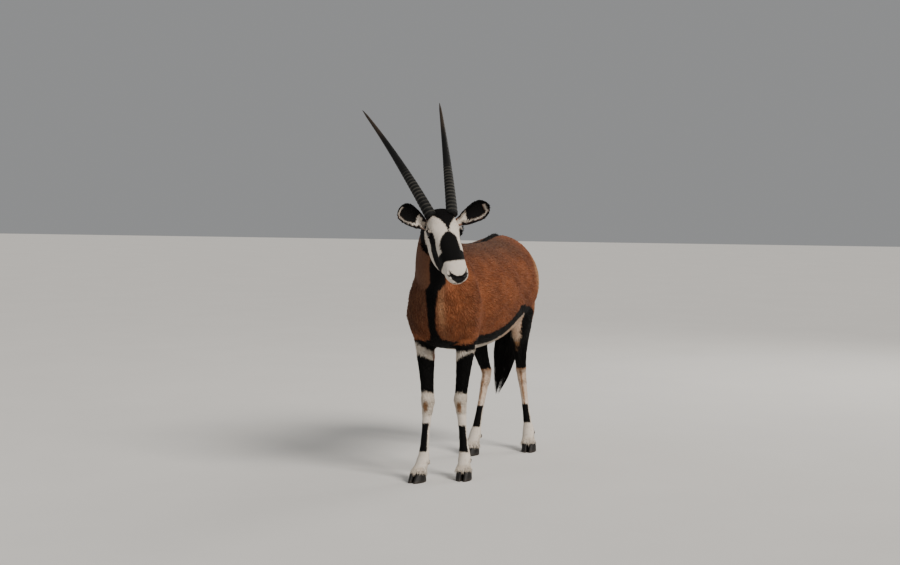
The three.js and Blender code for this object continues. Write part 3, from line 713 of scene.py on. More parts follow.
def trunk_marks(p, neck_dark):
    """Black of the trunk, black of its rear alone, white of the belly, and the place below the flank band."""
    x, y, z = p.T
    shift = np.where(x < 0, read_off(THIGH_SHIFT, z), 0)
    rear = y - shift * ramp(y, 560, 720)
    top, deep = read_off(FLANK_TOP, rear), read_off(FLANK_DEPTH, rear)
    flank = np.minimum(band(top - z, 0, deep), band(rear, -40, 690))
    thigh = polygon_distance(rear, z, THIGH)
    below = np.minimum(top - deep - z, band(y, 60, 840))
    chest = read_off(CHEST_STRIPE, z, 2) - np.abs(x - read_off(CHEST_STRIPE, z))
    chest = np.minimum(chest, 30 - y)
    spine = np.minimum(11 + 8 * ramp(y, 950, 1100) - np.abs(x), band(y, 150, 1300))
    rear_dark = np.maximum.reduce([flank, thigh, np.minimum(spine, z - 1000)])
    high = ramp(z, 975, 1025)
    dark = np.maximum(rear_dark, chest * (1 - high) + neck_dark * high)
    return dark, rear_dark, np.minimum(below, -np.maximum(flank, thigh)) + UNDERLAP, below


def coat_shades(p, part_names, below, lateral, share):
    """How pale tan and how greyish the brown is, from 0 to 1. The pale tan also holds painted light on the
    rear of the rump and on the left of the chest, and the greyish brown holds painted shade on the right of
    the shoulder, chest and neck.
    """
    x, y, z = p.T
    rump_edge = 26 * np.sin(z / 58) + 0.22 * (z - 950)
    # painted light: a lighter, pale tan band over the rear of the rump
    buff_and_light = 0.92 * ramp(y - rump_edge, 838, 950) * ramp(z, 740, 900)
    # painted light: a pale tan band down the lit left side of the chest
    buff_and_light = np.maximum(buff_and_light, 0.6 * bell(x, 66, 22) * bell(z, 880, 150) * ramp(-y, -20, 90))
    buff_and_light = np.maximum(buff_and_light, 1.4 * ramp(below, -4, 8) * ramp(y, 420, 560))
    body = np.isin(part_names, ["torso", "neck"]) | named(part_names, end="upper_leg")
    buff_and_light = np.where(body, buff_and_light, 0.0)
    buff_and_light = np.where(named(part_names, "hind"), np.maximum(buff_and_light, ramp(z, 230, 330)), buff_and_light)
    grey_and_shade = np.maximum.reduce([
        ramp(z, 1060, 1200) * ramp(y, 0, 200) * ramp(-y, -900, -700) * 0.9,
        # painted shade: the animal's right shoulder and chest, on the side away from the light, made greyer
        # and darker
        0.85 * ramp(-x, 0, 110) * ramp(-y, -330, 0) * ramp(z, 700, 800),
        # painted shade: the right side of the lower neck, made greyer and darker
        0.9 * ramp(-lateral, -50, 80) * ramp(share, 0, 0.4),
        0.45 * ramp(z, 1060, 1240) * (part_names == "neck"),
    ])
    return buff_and_light, np.where(part_names == "head", 0.5, grey_and_shade)


def coat_marks(points, part_names):
    """Black, white, pale tan with painted light, greyish tone with painted shade, and spot over the whole
    coat; distances are in millimetres.
    """
    p = to_body(points)
    x, _, z = p.T
    spot = np.full(len(points), FAR_OUT)
    neck_dark, lateral, share = throat_stripe(p)
    trunk_dark, rear_dark, trunk_pale, below = trunk_marks(p, neck_dark)
    is_part = {name: part_names == name for name in np.unique(part_names)}
    trunk = np.isin(part_names, ["torso", "neck"])
    dark = np.where(trunk, trunk_dark, FAR_OUT)
    pale = np.where(trunk, trunk_pale, FAR_OUT)
    for side in LEG_SIDES:
        leg = named(part_names, side, "_leg")
        if not leg.any():
            continue
        leg_dark, leg_pale, leg_spot = leg_marks(p[leg], side)
        carried = (z[leg] > THIGH_FOOT) & side.startswith("hind")
        dark[leg] = np.maximum(leg_dark, np.where(carried, rear_dark[leg], FAR_OUT))
        pale[leg] = np.maximum(leg_pale, np.where(carried, trunk_pale[leg], FAR_OUT))
        spot[leg] = leg_spot
        if side.startswith("fore"):
            height, _, radius = leg_frame(p, side)
            near = trunk & (radius < 88) & (height < LEG_MARKS[side]["patch"] + CUFF)
            cuff, patch, _ = leg_marks(p[near], side)
            pale[near] = np.maximum(pale[near], patch)
            dark[near] = np.maximum(np.minimum(dark[near], UNDERLAP - patch), cuff)
    head = part_names == "head"
    a, h, s = to_head(points)
    white, black_nose = face_marks(a, h, s)
    face_pale = np.minimum(white + UNDERLAP, a + 80)
    face_dark = np.maximum(np.minimum(-white, a + 128), np.minimum(34 - np.abs(s), -h - 60))
    dark = np.where(head, face_dark * HEAD_UNIT, dark)
    pale = np.where(head, face_pale * HEAD_UNIT, pale)
    bare = np.where(head, black_nose, FAR_OUT)
    for name in EAR_ROOT:
        if name in is_part:
            dark[is_part[name]], pale[is_part[name]] = ear_marks(points[is_part[name]], name)
    tail = part_names == "tail"
    dark = np.where(tail, np.where(z < 1070, ALL_BLACK, 20 - np.abs(x)), dark)
    pale = np.where(tail, FAR_OUT, pale)
    buff_and_light, grey_and_shade = coat_shades(p, part_names, below, lateral, share)
    return {"dark": dark, "pale": pale, "spot": spot, "bare": bare, "buff_and_light": buff_and_light, "grey_and_shade": grey_and_shade}


MARKS = ("dark", "pale", "spot", "bare", "buff_and_light", "grey_and_shade")


def give_number(mesh, name, values):
    layer = mesh.attributes.new(name, "FLOAT", "POINT")
    layer.data.foreach_set("value", np.asarray(values, np.float32))


def give_vector(mesh, name, values):
    layer = mesh.attributes.new(name, "FLOAT_VECTOR", "POINT")
    layer.data.foreach_set("vector", np.asarray(values, np.float32).ravel())


# Finishes


def linear(red, green, blue):
    """A screen colour, 0 to 255, as the shader's linear one."""
    channel = np.array([red, green, blue]) / 255
    value = np.where(channel <= 0.04045, channel / 12.92, ((channel + 0.055) / 1.055) ** 2.4)
    return (*value.tolist(), 1.0)


class Wire:
    """One output in a finish, so that sums on it can be written as sums."""

    def __init__(self, finish, socket):
        self.finish = finish
        self.socket = socket

    def __add__(self, other):
        return self.finish.sum("ADD", self, other)

    __radd__ = __add__

    def __sub__(self, other):
        return self.finish.sum("SUBTRACT", self, other)

    def __rsub__(self, other):
        return self.finish.sum("SUBTRACT", other, self)

    def __mul__(self, other):
        return self.finish.sum("MULTIPLY", self, other)

    __rmul__ = __mul__

    def eased(self, low, high):
        """0 below low, 1 above high, eased between."""
        return self.finish.node("ShaderNodeMapRange", {"interpolation_type": "SMOOTHSTEP"},
                                {"Value": self, "From Min": low, "From Max": high})


class Finish:
    """A material that is written down from its shader backwards."""

    def __init__(self, name, **fixed):
        self.material = bpy.data.materials.new(name)
        self.material.use_nodes = True
        self.tree = self.material.node_tree
        self.shader = self.tree.nodes["Principled BSDF"]
        for key, value in fixed.items():
            self.shader.inputs[key.replace("_", " ")].default_value = value

    def feed(self, socket, value):
        if isinstance(value, Wire):
            self.tree.links.new(value.socket, socket)
        else:
            socket.default_value = value

    def node(self, kind, settings=None, values=None, output=0):
        made = self.tree.nodes.new(kind)
        for key, value in (settings or {}).items():
            setattr(made, key, value)
        for key, value in (values or {}).items():
            self.feed(made.inputs[key], value)
        return Wire(self, made.outputs[output])

    def sum(self, operation, first, second):
        return self.node("ShaderNodeMath", {"operation": operation}, {0: first, 1: second})

    def mark(self, name):
        """A number kept on the piece's corners."""
        return self.node("ShaderNodeAttribute", {"attribute_name": name}, output=2)

    def spot(self, name):
        """A vector kept on the piece's corners."""
        return self.node("ShaderNodeAttribute", {"attribute_name": name}, output=1)

    def own_place(self):
        """The place on the piece, in the piece's own metres."""
        return self.node("ShaderNodeTexCoord", output=3)

    def noise(self, scale, where, detail):
        return self.node("ShaderNodeTexNoise", None, {"Vector": where, "Scale": scale, "Detail": detail,
                                                      "Roughness": 0.55, "Distortion": 0.0})

    def stretched(self, where, factors):
        return self.node("ShaderNodeVectorMath", {"operation": "MULTIPLY"}, {0: where, 1: factors})

    def blend(self, share, first, second, way="MIX"):
        return self.node("ShaderNodeMix", {"data_type": "RGBA", "blend_type": way},
                         {0: share, 6: first, 7: second}, output=2)

    def bump(self, height, distance, strength=1.0):
        return self.node("ShaderNodeBump", None, {"Height": height, "Distance": distance,
                                                  "Strength": strength})

    def set(self, **values):
        for key, value in values.items():
            self.feed(self.shader.inputs[key.replace("_", " ")], value)
        return self.material


RED_BROWN = linear(146, 84, 52)
DEEP_BROWN = linear(112, 62, 39)
# pale tan of the belly's edge, the thigh and the lower hind legs, and also the painted light on the rump's
# rear and the left of the chest
BUFF_AND_LIGHT = linear(192, 146, 108)
# greyish brown for the coat's greyer back and neck, and also the painted shade on the animal's right side
GREY_AND_SHADE_BROWN = linear(72, 48, 39)
BLACK = linear(4, 3, 3)
WHITE = linear(222, 216, 205)
SPOT_BROWN = linear(140, 106, 76)
NOSE_BLACK = linear(9, 8, 9)
HAIR_SHINE = 0.12


def coat_colour(f, where):
    """The coat's colour at a tuft's root, the same rule for skin and hair."""
    fine = f.noise(160, where, 2)
    broad = f.noise(9, where, 3)
    ragged = (fine - 0.5) * 16 + (f.noise(38, where, 2) - 0.5) * 10
    base = f.blend(broad.eased(0.32, 0.72), DEEP_BROWN, RED_BROWN)
    # greyish brown: the coat's own on back and neck, painted shade on the right shoulder, chest and neck
    base = f.blend(f.mark("grey_and_shade"), base, GREY_AND_SHADE_BROWN)
    # pale tan: the coat's own on belly, thigh and hind legs, painted light on the rump's rear and the left of
    # the chest
    base = f.blend((f.mark("buff_and_light") + (broad - 0.5) * 0.5).eased(0.0, 1.0), base, BUFF_AND_LIGHT)
    base = f.blend(f.noise(420, where, 1).eased(0.35, 0.75) * 0.2, base, BUFF_AND_LIGHT)
    white = f.blend(f.noise(60, where, 3) * 0.3 + f.mark("buff_and_light") * 0.35, WHITE, BUFF_AND_LIGHT)
    base = f.blend((f.mark("pale") + ragged).eased(-5, 5), base, white)
    base = f.blend((f.mark("spot") + ragged).eased(-6, 6), base, SPOT_BROWN)
    return f.blend((f.mark("dark") + ragged).eased(-5, 5), base, BLACK)


def skin_finish():
    """Skin with the coat's colour under the tufts, and the pebbled bare nose."""
    f = Finish("coat_on_skin", Specular_IOR_Level=HAIR_SHINE)
    where = f.spot("root")
    colour = coat_colour(f, where)
    bare = f.mark("bare").eased(-1, 1)
    pebbled = f.node("ShaderNodeTexVoronoi", None, {"Vector": where, "Scale": 420.0})
    hairs = f.noise(900, f.stretched(where, (1, 1, 0.35)), 2)
    colour = f.blend(bare, colour, NOSE_BLACK)
    height = hairs * (1 - bare) + pebbled * bare * 0.6
    return f.set(Base_Color=f.blend(hairs * 0.35, colour, BLACK, "MULTIPLY"),
                 Roughness=0.78 - bare * 0.36, Normal=f.bump(height, 0.0012, 0.6))


def tuft_finish(name):
    """Hair in mesh: the coat's colour, darker at the root, with each tuft a little lighter or darker."""
    f = Finish(name, Specular_IOR_Level=HAIR_SHINE)
    where = f.spot("root")
    colour = f.blend((1 - f.mark("tip")) * 0.45, coat_colour(f, where), linear(40, 28, 22), "MULTIPLY")
    colour = f.blend(f.mark("own") * 0.22, colour, linear(235, 205, 170), "SOFT_LIGHT")
    streak = f.noise(1400, where, 1)
    return f.set(Base_Color=colour, Roughness=0.62 + streak * 0.22, Normal=f.bump(streak, 0.0006, 0.35))


# The coat's lie and its tufts


def lie_of_hair(points, normals, part_names, edges):
    """The way that the coat lies at each corner of the skin, along the surface."""
    p = to_body(points)
    share, _ = along_line(p, NECK_LINE)
    lie = np.tile([0.0, 1.0, -0.35], (len(points), 1))
    chest = ramp(p[:, 1], 60, -120)[:, None]
    lie = lie * (1 - chest) + np.array([0, 0.1, -1.0]) * chest
    step = np.gradient(NECK_LINE, axis=0)
    way = np.stack([np.interp(share, np.linspace(0, 1, len(NECK_LINE)), step[:, k]) for k in range(3)], 1)
    neck = part_names == "neck"
    lie[neck] = (-unit(way) * 0.75 + np.array([0, 0, -0.35]))[neck]
    a, h, _ = to_head(points)
    head = part_names == "head"
    back = (1 - ramp(a, 20, 110))[:, None] * ramp(-h, -5, 40)[:, None]
    face = FACE_ALONG * (1 - back) + (-0.3 * FACE_ALONG - 0.9 * FACE_DORSAL) * back
    rear = ramp(a, -70, -100)[:, None]
    face = face * (1 - rear) - FACE_ALONG * rear
    lie[head] = face[head]
    leg = named(part_names, end="_leg")
    lie[leg] = np.array([0, 0.15, -1.0])
    thigh = leg & (p[:, 2] > THIGH_FOOT)
    lie[thigh] = np.array([0, 0.5, -0.9])
    rump = ramp(p[:, 1], 900, 1040)[:, None]
    trunk = (part_names == "torso")[:, None]
    lie = np.where(trunk, lie * (1 - rump) + np.array([0, 0.5, -1.0]) * rump, lie)
    lie[part_names == "tail"] = np.array([0, 0.1, -1.0])
    lie = relax(lie, edges, 14, inward=0.6, outward=0)
    lie -= normals * (lie * normals).sum(1, keepdims=True)
    return unit(lie)


def scatter(points, triangles, share, count):
    """Random places on a surface: corner indices and weights, denser where share is larger."""
    corner = points[triangles]
    area = np.linalg.norm(np.cross(corner[:, 1] - corner[:, 0], corner[:, 2] - corner[:, 0]), axis=1)
    load = np.cumsum(area * share[triangles].mean(1))
    draws = (np.arange(count) + rng.random(count)) / count * load[-1]
    chosen = np.searchsorted(load, draws).clip(0, len(triangles) - 1)
    u, v = rng.random(count), rng.random(count)
    over = u + v > 1
    u[over], v[over] = 1 - u[over], 1 - v[over]
    return triangles[chosen], np.stack([1 - u - v, u, v], 1)


def at_places(values, index, weight):
    return (values[index] * weight.reshape(*weight.shape, *([1] * (values.ndim - 1)))).sum(1)


BAKE_PATCH = 0.003
BAKE_CELLS = 4
BAKE_MARGIN = 0.03
PART_CELLS = {name: i for i, name in enumerate([*FLESH, "tail", "ear_left", "ear_right"])}


def bake_line(name):
    """The line that a part is rolled out round."""
    if name in ("tail", "neck"):
        return TAIL_LINE if name == "tail" else NECK_LINE
    if name == "torso":
        return np.array([(0, -200, 930), (0, 1150, 960)])
    if name == "head":
        return to_body(np.array([on_head(-130, -20, 0), on_head(270, -20, 0)]))
    if name.startswith("ear"):
        return to_body(np.array(corners(name)))
    return np.array(LEG_LINES[name.rsplit("_", 2)[0]], float)


def bake_place(points, part_names):
    """A place on an unwrap of the skin: each part is rolled out round its own line in a cell of its own."""
    p = to_body(points)
    result = np.zeros((len(points), 2))
    for name in np.unique(part_names):
        here = part_names == name
        line = bake_line(name)
        share, spot = along_line(p[here], line)
        way = unit(line[-1] - line[0])
        first = unit(np.cross(way, (0.3, 0.5, 0.8)))
        second = np.cross(way, first)
        away = p[here] - spot
        around = np.arctan2(away @ second, away @ first) / (2 * math.pi) + 0.5
        row, column = divmod(PART_CELLS[name], BAKE_CELLS)
        inner = np.stack([around, share], 1) * (1 - 2 * BAKE_MARGIN) + BAKE_MARGIN
        result[here] = (inner + (column, row)) / BAKE_CELLS
    return result


# where along a lying tuft the coat's marks are read, so that their edges stay in place under its tip
TUFT_COVERS = 0.6


BLADE_FLAT = 0.7


def blade_mesh(name, paths, ups, widths):
    """Closed, tapered three-sided blades along given paths: one row of points each, root to tip."""
    segments = paths.shape[1] - 1
    rings = []
    for k in range(segments):
        way = unit(paths[:, k + 1] - paths[:, max(k - 1, 0)])
        side = unit(np.cross(way, ups))
        rise = np.cross(side, way)
        share = k / segments
        taper = (1 - 0.72 * share ** 1.5) * (0.72 + 0.4 * math.sin(math.pi * min(share + 0.22, 1)))
        half = (widths * taper / 2)[:, None]
        middle = paths[:, k]
        rings += [middle + side * half, middle + rise * half * BLADE_FLAT, middle - side * half]
    rings.append(paths[:, -1])
    tip = 3 * segments
    faces = []
    for ring in range(0, tip - 3, 3):
        for k in range(3):
            a, b = ring + k, ring + (k + 1) % 3
            faces += [(a, b, b + 3), (a, b + 3, a + 3)]
    faces += [(tip - 3 + k, tip - 3 + (k + 1) % 3, tip) for k in range(3)]
    starts = np.arange(len(paths)) * (tip + 1)
    faces = (np.array(faces)[None] + starts[:, None, None]).reshape(-1, 3)
    return mesh_object(name, np.stack(rings, 1).reshape(-1, 3), faces)


def blades(name, paths, ups, widths, part_names, finish, marks=None):
    """Hair as blades in mesh; marks are fixed values in place of the coat's own."""
    count, segments = len(paths), paths.shape[1] - 1
    per = 3 * segments + 1
    piece = blade_mesh(name, paths, ups, widths)
    mesh = piece.data
    roots = paths[:, 0]
    covered = roots + TUFT_COVERS * (paths[:, -1] - roots) if marks is None else roots
    known = coat_marks(covered, part_names)
    known.update({key: np.full(count, float(value)) for key, value in (marks or {}).items()})
    for key in MARKS:
        give_number(mesh, key, np.repeat(known[key], per))
    give_vector(mesh, "root", np.repeat(roots, per, axis=0))
    give_number(mesh, "own", np.repeat(rng.random(count), per))
    shares = np.append(np.repeat(np.arange(segments) / segments, 3), 1.0)
    give_number(mesh, "tip", np.tile(shares, count))
    sideways = np.append(np.tile([-0.5, 0, 0.5], segments), 0.0)
    spread = np.stack([shares, sideways], 1) * BAKE_PATCH
    uv = (bake_place(roots, part_names)[:, None] + spread[None]).reshape(-1, 2)
    layer = mesh.uv_layers.new(name="OFBake")
    corner = np.empty(len(mesh.loops), np.int32)
    mesh.loops.foreach_get("vertex_index", corner)
    layer.data.foreach_set("uv", uv[corner].astype(np.float32).ravel())
    mesh.materials.append(finish)
    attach(piece, "root")
    return piece


ROOT_SINK = 1.2


def lying_paths(roots, ways, normals, lengths, lifts, segments, droop=0.55, curl=0.0):
    """Paths that leave the skin at a low angle and bend back towards it."""
    side = unit(np.cross(ways, normals))
    turn = rng.normal(0, 1, len(roots)) * curl
    path = []
    for t in np.linspace(0, 1, segments + 1):
        path.append(roots - normals * ROOT_SINK * MM + ways * (lengths * t)[:, None]
                    + normals * (lengths * lifts * t * (1 - droop * t))[:, None]
                    + side * (turn * lengths * t * t)[:, None])
    return np.stack(path, 1)


# Ears

EAR_ROOT = {"ear_left": (-68, -16, 69), "ear_right": (-68, -16, -69)}


def ear_frame(name):
    """Where an ear starts, its way to the tip, the way that it opens, its width way, and its half width."""
    points = points_of(nodes[name].data)
    root = on_head(*EAR_ROOT[name])
    tip = points[np.linalg.norm(points - root, axis=1).argmax()]
    length = np.linalg.norm(tip - root)
    axis = (tip - root) / length
    rest = points - root - ((points - root) @ axis)[:, None] * axis
    rest -= rest.mean(0)
    _, ways = np.linalg.eigh(rest.T @ rest)
    wide = unit(ways[:, 2] - axis * (ways[:, 2] @ axis))
    opens = np.cross(axis, wide)
    if opens @ FACE_LEVEL < 0:
        opens = -opens
    share = (points - root) @ axis / length
    across = (points - root) @ wide
    steps = np.linspace(0.02, 0.98, 17)
    slices = [across[np.abs(share - t) < 0.06] for t in steps]
    low, high = np.array([(cut.min(), cut.max()) for cut in slices]).T
    return {"root": root, "axis": axis, "opens": opens, "wide": wide, "length": length, "steps": steps,
            "low": low, "high": high, "tree": tree_of([name])[0]}


EAR_FRAMES = {name: ear_frame(name) for name in EAR_ROOT}


def ear_places(points, name):
    """Share along the ear, share across it, millimetres from its edge, and whether inside the cup."""
    e = EAR_FRAMES[name]
    share = (points - e["root"]) @ e["axis"] / e["length"]
    across = (points - e["root"]) @ e["wide"]
    low, high = np.interp(share, e["steps"], e["low"]), np.interp(share, e["steps"], e["high"])
    half = (high - low) / 2
    place_across = (across - (high + low) / 2) / half
    edge = np.minimum((1 - np.abs(place_across)) * half, (1 - share) * e["length"] * 0.7) / MM
    focus = e["root"] + share[:, None] * e["length"] * e["axis"] + e["opens"] * 0.05
    inside = np.array([e["tree"].find_nearest(point)[1] @ Vector(f - point) > 0
                       for point, f in zip(points, focus)])
    return share, place_across, edge, inside


EAR_LENGTH = 190
EAR_CELL = 0.0028


def ear_marks(points, name):
    """Black and white on one ear: its rim, a white ring inside it, and the dark cup."""
    share, across, edge, inside = ear_places(points, name)
    upper = across * np.sign(EAR_FRAMES[name]["wide"] @ FACE_DORSAL)
    along = share * EAR_LENGTH
    rim = np.minimum(13 - edge, along - 26)
    ring = np.minimum(np.minimum(edge - 13, 20 - edge), along - 50)
    ring = np.minimum(ring, np.maximum((0.25 - upper) * 45, along - 150))
    cup = np.minimum(along - 62 - 16 * upper, np.maximum(edge - 20, (upper - 0.25) * 45))
    dark = np.where(inside, np.maximum(rim, cup), np.maximum(4 - edge, along - 150))
    pale = np.where(inside, np.maximum(ring, np.minimum(74 - along, edge - 12)) + 3, FAR_OUT)
    return dark, pale


def make_ear(name):
    mesh = remeshed(name, [welded_copy(name)], EAR_CELL)
    largest_shell(mesh)
    points = relax(points_of(mesh), edges_of(mesh), 12, 0.9, inward=0.5, outward=-0.52)
    move_points(mesh, points)
    return mesh


# The skin's marks and finish

skin = make_skin()
skin_points = points_of(skin.data)
skin_normals = normals_of(skin.data)
skin_parts = nearest_part(skin_points)
skin_lie = lie_of_hair(skin_points, skin_normals, skin_parts, edges_of(skin.data))
skin_faces = mesh_triangles(skin.data)
body_tree = BVHTree.FromPolygons(skin_points.tolist(), skin_faces.tolist())


def with_ears(points, normals, parts, lie, faces):
    """Adds the ears to the skin's mesh and its arrays, with the lie of their hair from root to tip."""
    body = bmesh.new()
    body.from_mesh(skin.data)
    for name in EAR_ROOT:
        ear = make_ear(name)
        ear_normals, axis = normals_of(ear), EAR_FRAMES[name]["axis"]
        faces = np.vstack([faces, mesh_triangles(ear) + len(points)])
        points = np.vstack([points, points_of(ear)])
        normals = np.vstack([normals, ear_normals])
        lie = np.vstack([lie, unit(axis - ear_normals * (ear_normals @ axis)[:, None])])
        parts = np.append(parts, np.full(len(ear_normals), name))
        body.from_mesh(ear)
        bpy.data.meshes.remove(ear)
    body.to_mesh(skin.data)
    body.free()
    return points, normals, parts, lie, faces


skin_points, skin_normals, skin_parts, skin_lie, skin_faces = with_ears(
    skin_points, skin_normals, skin_parts, skin_lie, skin_faces)
skin_marks = coat_marks(skin_points, skin_parts)
for key in MARKS:
    give_number(skin.data, key, skin_marks[key])
give_vector(skin.data, "root", skin_points)
shade_smooth(skin.data)
skin.data.materials.clear()
skin.data.materials.append(skin_finish())
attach(skin, "root")
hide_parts(*FLESH, "ear_left", "ear_right")

# Short coat

HORN_NODES = ("horn_left", "horn_right")
# part: tufts, length, width and lift
COAT = {
    "torso": (50000, 24, 4.6, 0.26),
    "neck": (19000, 26, 4.4, 0.28),
    "upper_leg": (13000, 20, 4.0, 0.22),
    "lower_leg": (14000, 12, 2.8, 0.16),
    "head": (22000, 8, 2.0, 0.14),
    "ear": (7500, 6.5, 1.6, 0.16),
    "tail": (1500, 22, 3.4, 0.20),
}
MOST_TUFTS = 21500
HORN_FOOT = 0.019


def horn_feet():
    """The middle of each horn's foot."""
    feet = []
    for name in HORN_NODES:
        points = points_of(nodes[name].data)
        near = np.linalg.norm(points - EYES, axis=1)
        feet.append(points[near < near.min() + 0.03].mean(0))
    return feet


def free_of_hair(points, part_names):
    """1 where the coat grows, 0 on eyes, lips, nose and under the horns."""
    grows = np.ones(len(points))
    _, black_nose = face_marks(*to_head(points))
    grows[(part_names == "head") & (black_nose > -1.0)] = 0
    for _, centre, side in EYE_BALLS:
        _, u, v, w = eye_places(points, centre, side)
        grows[(np.hypot(u / 23, v / 16) < 1) & (w > 0) & (w < 40)] = 0
    for foot in horn_feet():
        grows[np.linalg.norm(points - foot, axis=1) < HORN_FOOT] = 0
    return grows


def tuft_size(kind, roots):
    """How much longer the tufts of a part are than their usual length, and how much more they stand up."""
    along = to_head(roots)[0]
    depth = -to_body(roots)[:, 2]
    if kind == "head":
        return 1.45 - 0.75 * ramp(along, -60, 120), 0
    if kind == "neck":
        return 1 - 0.6 * ramp(along, -165, -110), 0
    if kind == "lower_leg":
        return 1 + 1.3 * ramp(depth, -100, -62), 0.3 * ramp(depth, -88, -62)
    return 1.0, 0


def grow_coat():
    hair = tuft_finish("coat_hair")
    grows = free_of_hair(skin_points, skin_parts)
    for kind, (count, length, width, lift) in COAT.items():
        here = named(skin_parts, "ear") if kind == "ear" else named(skin_parts, end=kind)
        index, weight = scatter(skin_points, skin_faces, here * grows, count)
        roots = at_places(skin_points, index, weight)
        normals = unit(at_places(skin_normals, index, weight))
        ways = at_places(skin_lie, index, weight)
        clump = (np.sin(roots @ np.array([61.0, 43.0, 71.0])) * 0.10
                 + np.sin(roots @ np.array([151.0, -97.0, 123.0])) * 0.07)
        side = np.cross(ways, normals)
        ways = unit(ways + side * (clump + rng.normal(0, 0.10, count))[:, None])
        ways = unit(ways - normals * (ways * normals).sum(1, keepdims=True))
        longer, raised = tuft_size(kind, roots)
        lengths = length * MM * (0.7 + 0.6 * rng.random(count)) * longer
        widths = width * MM * (0.75 + 0.5 * rng.random(count)) * np.sqrt(longer)
        lifts = lift * (0.6 + 0.8 * rng.random(count)) * np.minimum(longer, 1) + raised
        names = skin_parts[index[:, 0]]
        order = np.argsort(roots[:, 1], kind="stable")
        groups = np.array_split(order, -(-count // MOST_TUFTS))
        for i, group in enumerate(groups):
            paths = lying_paths(roots[group], ways[group], normals[group], lengths[group], lifts[group], 2)
            label = f"coat_{kind}_{i + 1}" if len(groups) > 1 else f"coat_{kind}"
            piece = blades(label, paths, normals[group], widths[group], names[group], hair)


grow_coat()

# Long hair: tail, nape, back, lashes, ears

# the tuft's half width along the tail's line
SWITCH_HALF = np.array([(0.3, 14), (0.4, 20), (0.5, 42), (0.62, 66), (0.78, 68), (0.9, 42), (1, 8)], float)


def switch_hair():
    """The tail's tuft: long strands that leave the dock and hang round its line."""
    count, segments = 1900, 7
    line = ORIGIN + smooth_line(TAIL_LINE, 80) * MM
    share = np.linspace(0, 1, len(line))
    start = 0.30 + 0.29 * rng.random(count) ** 0.8
    reach = np.minimum(start + (0.36 + 0.16 * rng.random(count)), 1.0 - 0.05 * rng.random(count))
    angle = rng.random(count) * 2 * math.pi
    fill = 0.2 + 0.8 * rng.random(count) ** 0.36
    tail_low, tail_high = corners("tail")
    way = unit(np.gradient(line, axis=0))
    path = []
    for t in np.linspace(0, 1, segments + 1):
        at = start + (reach - start) * t
        spine = np.stack([np.interp(at, share, line[:, k]) for k in range(3)], 1)
        heading = unit(np.stack([np.interp(at, share, way[:, k]) for k in range(3)], 1))
        across = unit(np.cross(heading, (0, 1, 0.2)))
        up = np.cross(heading, across)
        dock = np.interp(at, [0, 0.6, 1], [0.024, 0.009, 0.004]) * 0.8
        tuft = read_off(SWITCH_HALF, at) * MM * fill
        spread = dock + (np.maximum(tuft, dock) - dock) * float(ramp(np.float64(t), 0, 0.45))
        twist = angle + 0.4 * np.sin(t * 4 + angle * 3) * t
        path.append(spine + (across * np.cos(twist)[:, None] + up * np.sin(twist)[:, None] * 0.8)
                    * spread[:, None])
    paths = np.clip(np.stack(path, 1), tail_low - 0.004, tail_high + 0.004)
    ups = unit(paths[:, 2] - np.stack([np.interp(start, share, line[:, k]) for k in range(3)], 1))
    piece = blades("tail_switch", paths, ups, (3.2 + 2.2 * rng.random(count)) * MM, np.full(count, "tail"),
                   tuft_finish("switch_strands"), marks={"dark": ALL_BLACK, "pale": FAR_OUT})
    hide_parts("tail")


CREST_STEPS = 4


def crest(name, spots, ways, outs, count, length, width, lift, spread, parts, marks):
    """Standing hair along a line on the skin."""
    pick = rng.random(count) * (len(spots) - 1)
    low = pick.astype(int)
    mix = (pick - low)[:, None]
    spot = spots[low] * (1 - mix) + spots[low + 1] * mix
    way = unit(ways[low] * (1 - mix) + ways[low + 1] * mix)
    out = unit(outs[low] * (1 - mix) + outs[low + 1] * mix)
    side = unit(np.cross(way, out))
    offset = rng.normal(0, 0.45, count).clip(-1, 1)
    roots = spot + side * (offset * spread * MM)[:, None]
    roots = np.array([body_tree.find_nearest(root)[0] for root in roots.tolist()])
    end = np.sin(math.pi * (0.12 + 0.80 * pick / (len(spots) - 1))) ** 0.6
    lengths = length * MM * (0.65 + 0.5 * rng.random(count)) * (1 - 0.45 * np.abs(offset)) * end
    heading = unit(way * (1 - lift) + out * lift + side * (offset * 0.25)[:, None]
                   + rng.normal(0, 0.06, (count, 3)))
    path = []
    for t in np.linspace(0, 1, CREST_STEPS + 1):
        path.append(roots - out * 0.002 + heading * (lengths * t)[:, None]
                    + (way * 0.28 - out * 0.12) * (lengths * t * t)[:, None])
    piece = blades(name, np.stack(path, 1), side, (width * (0.7 + 0.6 * rng.random(count))) * MM,
                   np.full(count, parts), tuft_finish(name + "_strands"), marks=marks)


def reach_skin(start, way):
    """Where a straight line first meets the body's skin."""
    return np.array(body_tree.ray_cast(Vector(start), Vector(way))[0])


def nape_crest():
    steps = np.linspace(1.75, 3.05, 24)
    line = np.stack([np.interp(steps, range(len(NECK_LINE)), NECK_LINE[:, k]) for k in range(3)], 1)
    way = -unit(np.gradient(line, axis=0))
    share = np.clip((steps - 1) / 3.2, 0, 1)[:, None]
    side = unit(np.array([1.0, 0, 0]) * (1 - share) + FACE_SIDE * share)
    out = unit(np.cross(side, way))
    out = np.where((out[:, [1]] + out[:, [2]]) < 0, -out, out)
    spots = [reach_skin(spot + away * 0.4, -away) for spot, away in zip(ORIGIN + line * MM, out)]
    crest("nape_crest", np.array(spots), way, out, 620, 46, 3.4, 0.62, 13, "neck",
          {"dark": FAR_OUT, "pale": FAR_OUT, "grey_and_shade": 1.0, "buff_and_light": 0})


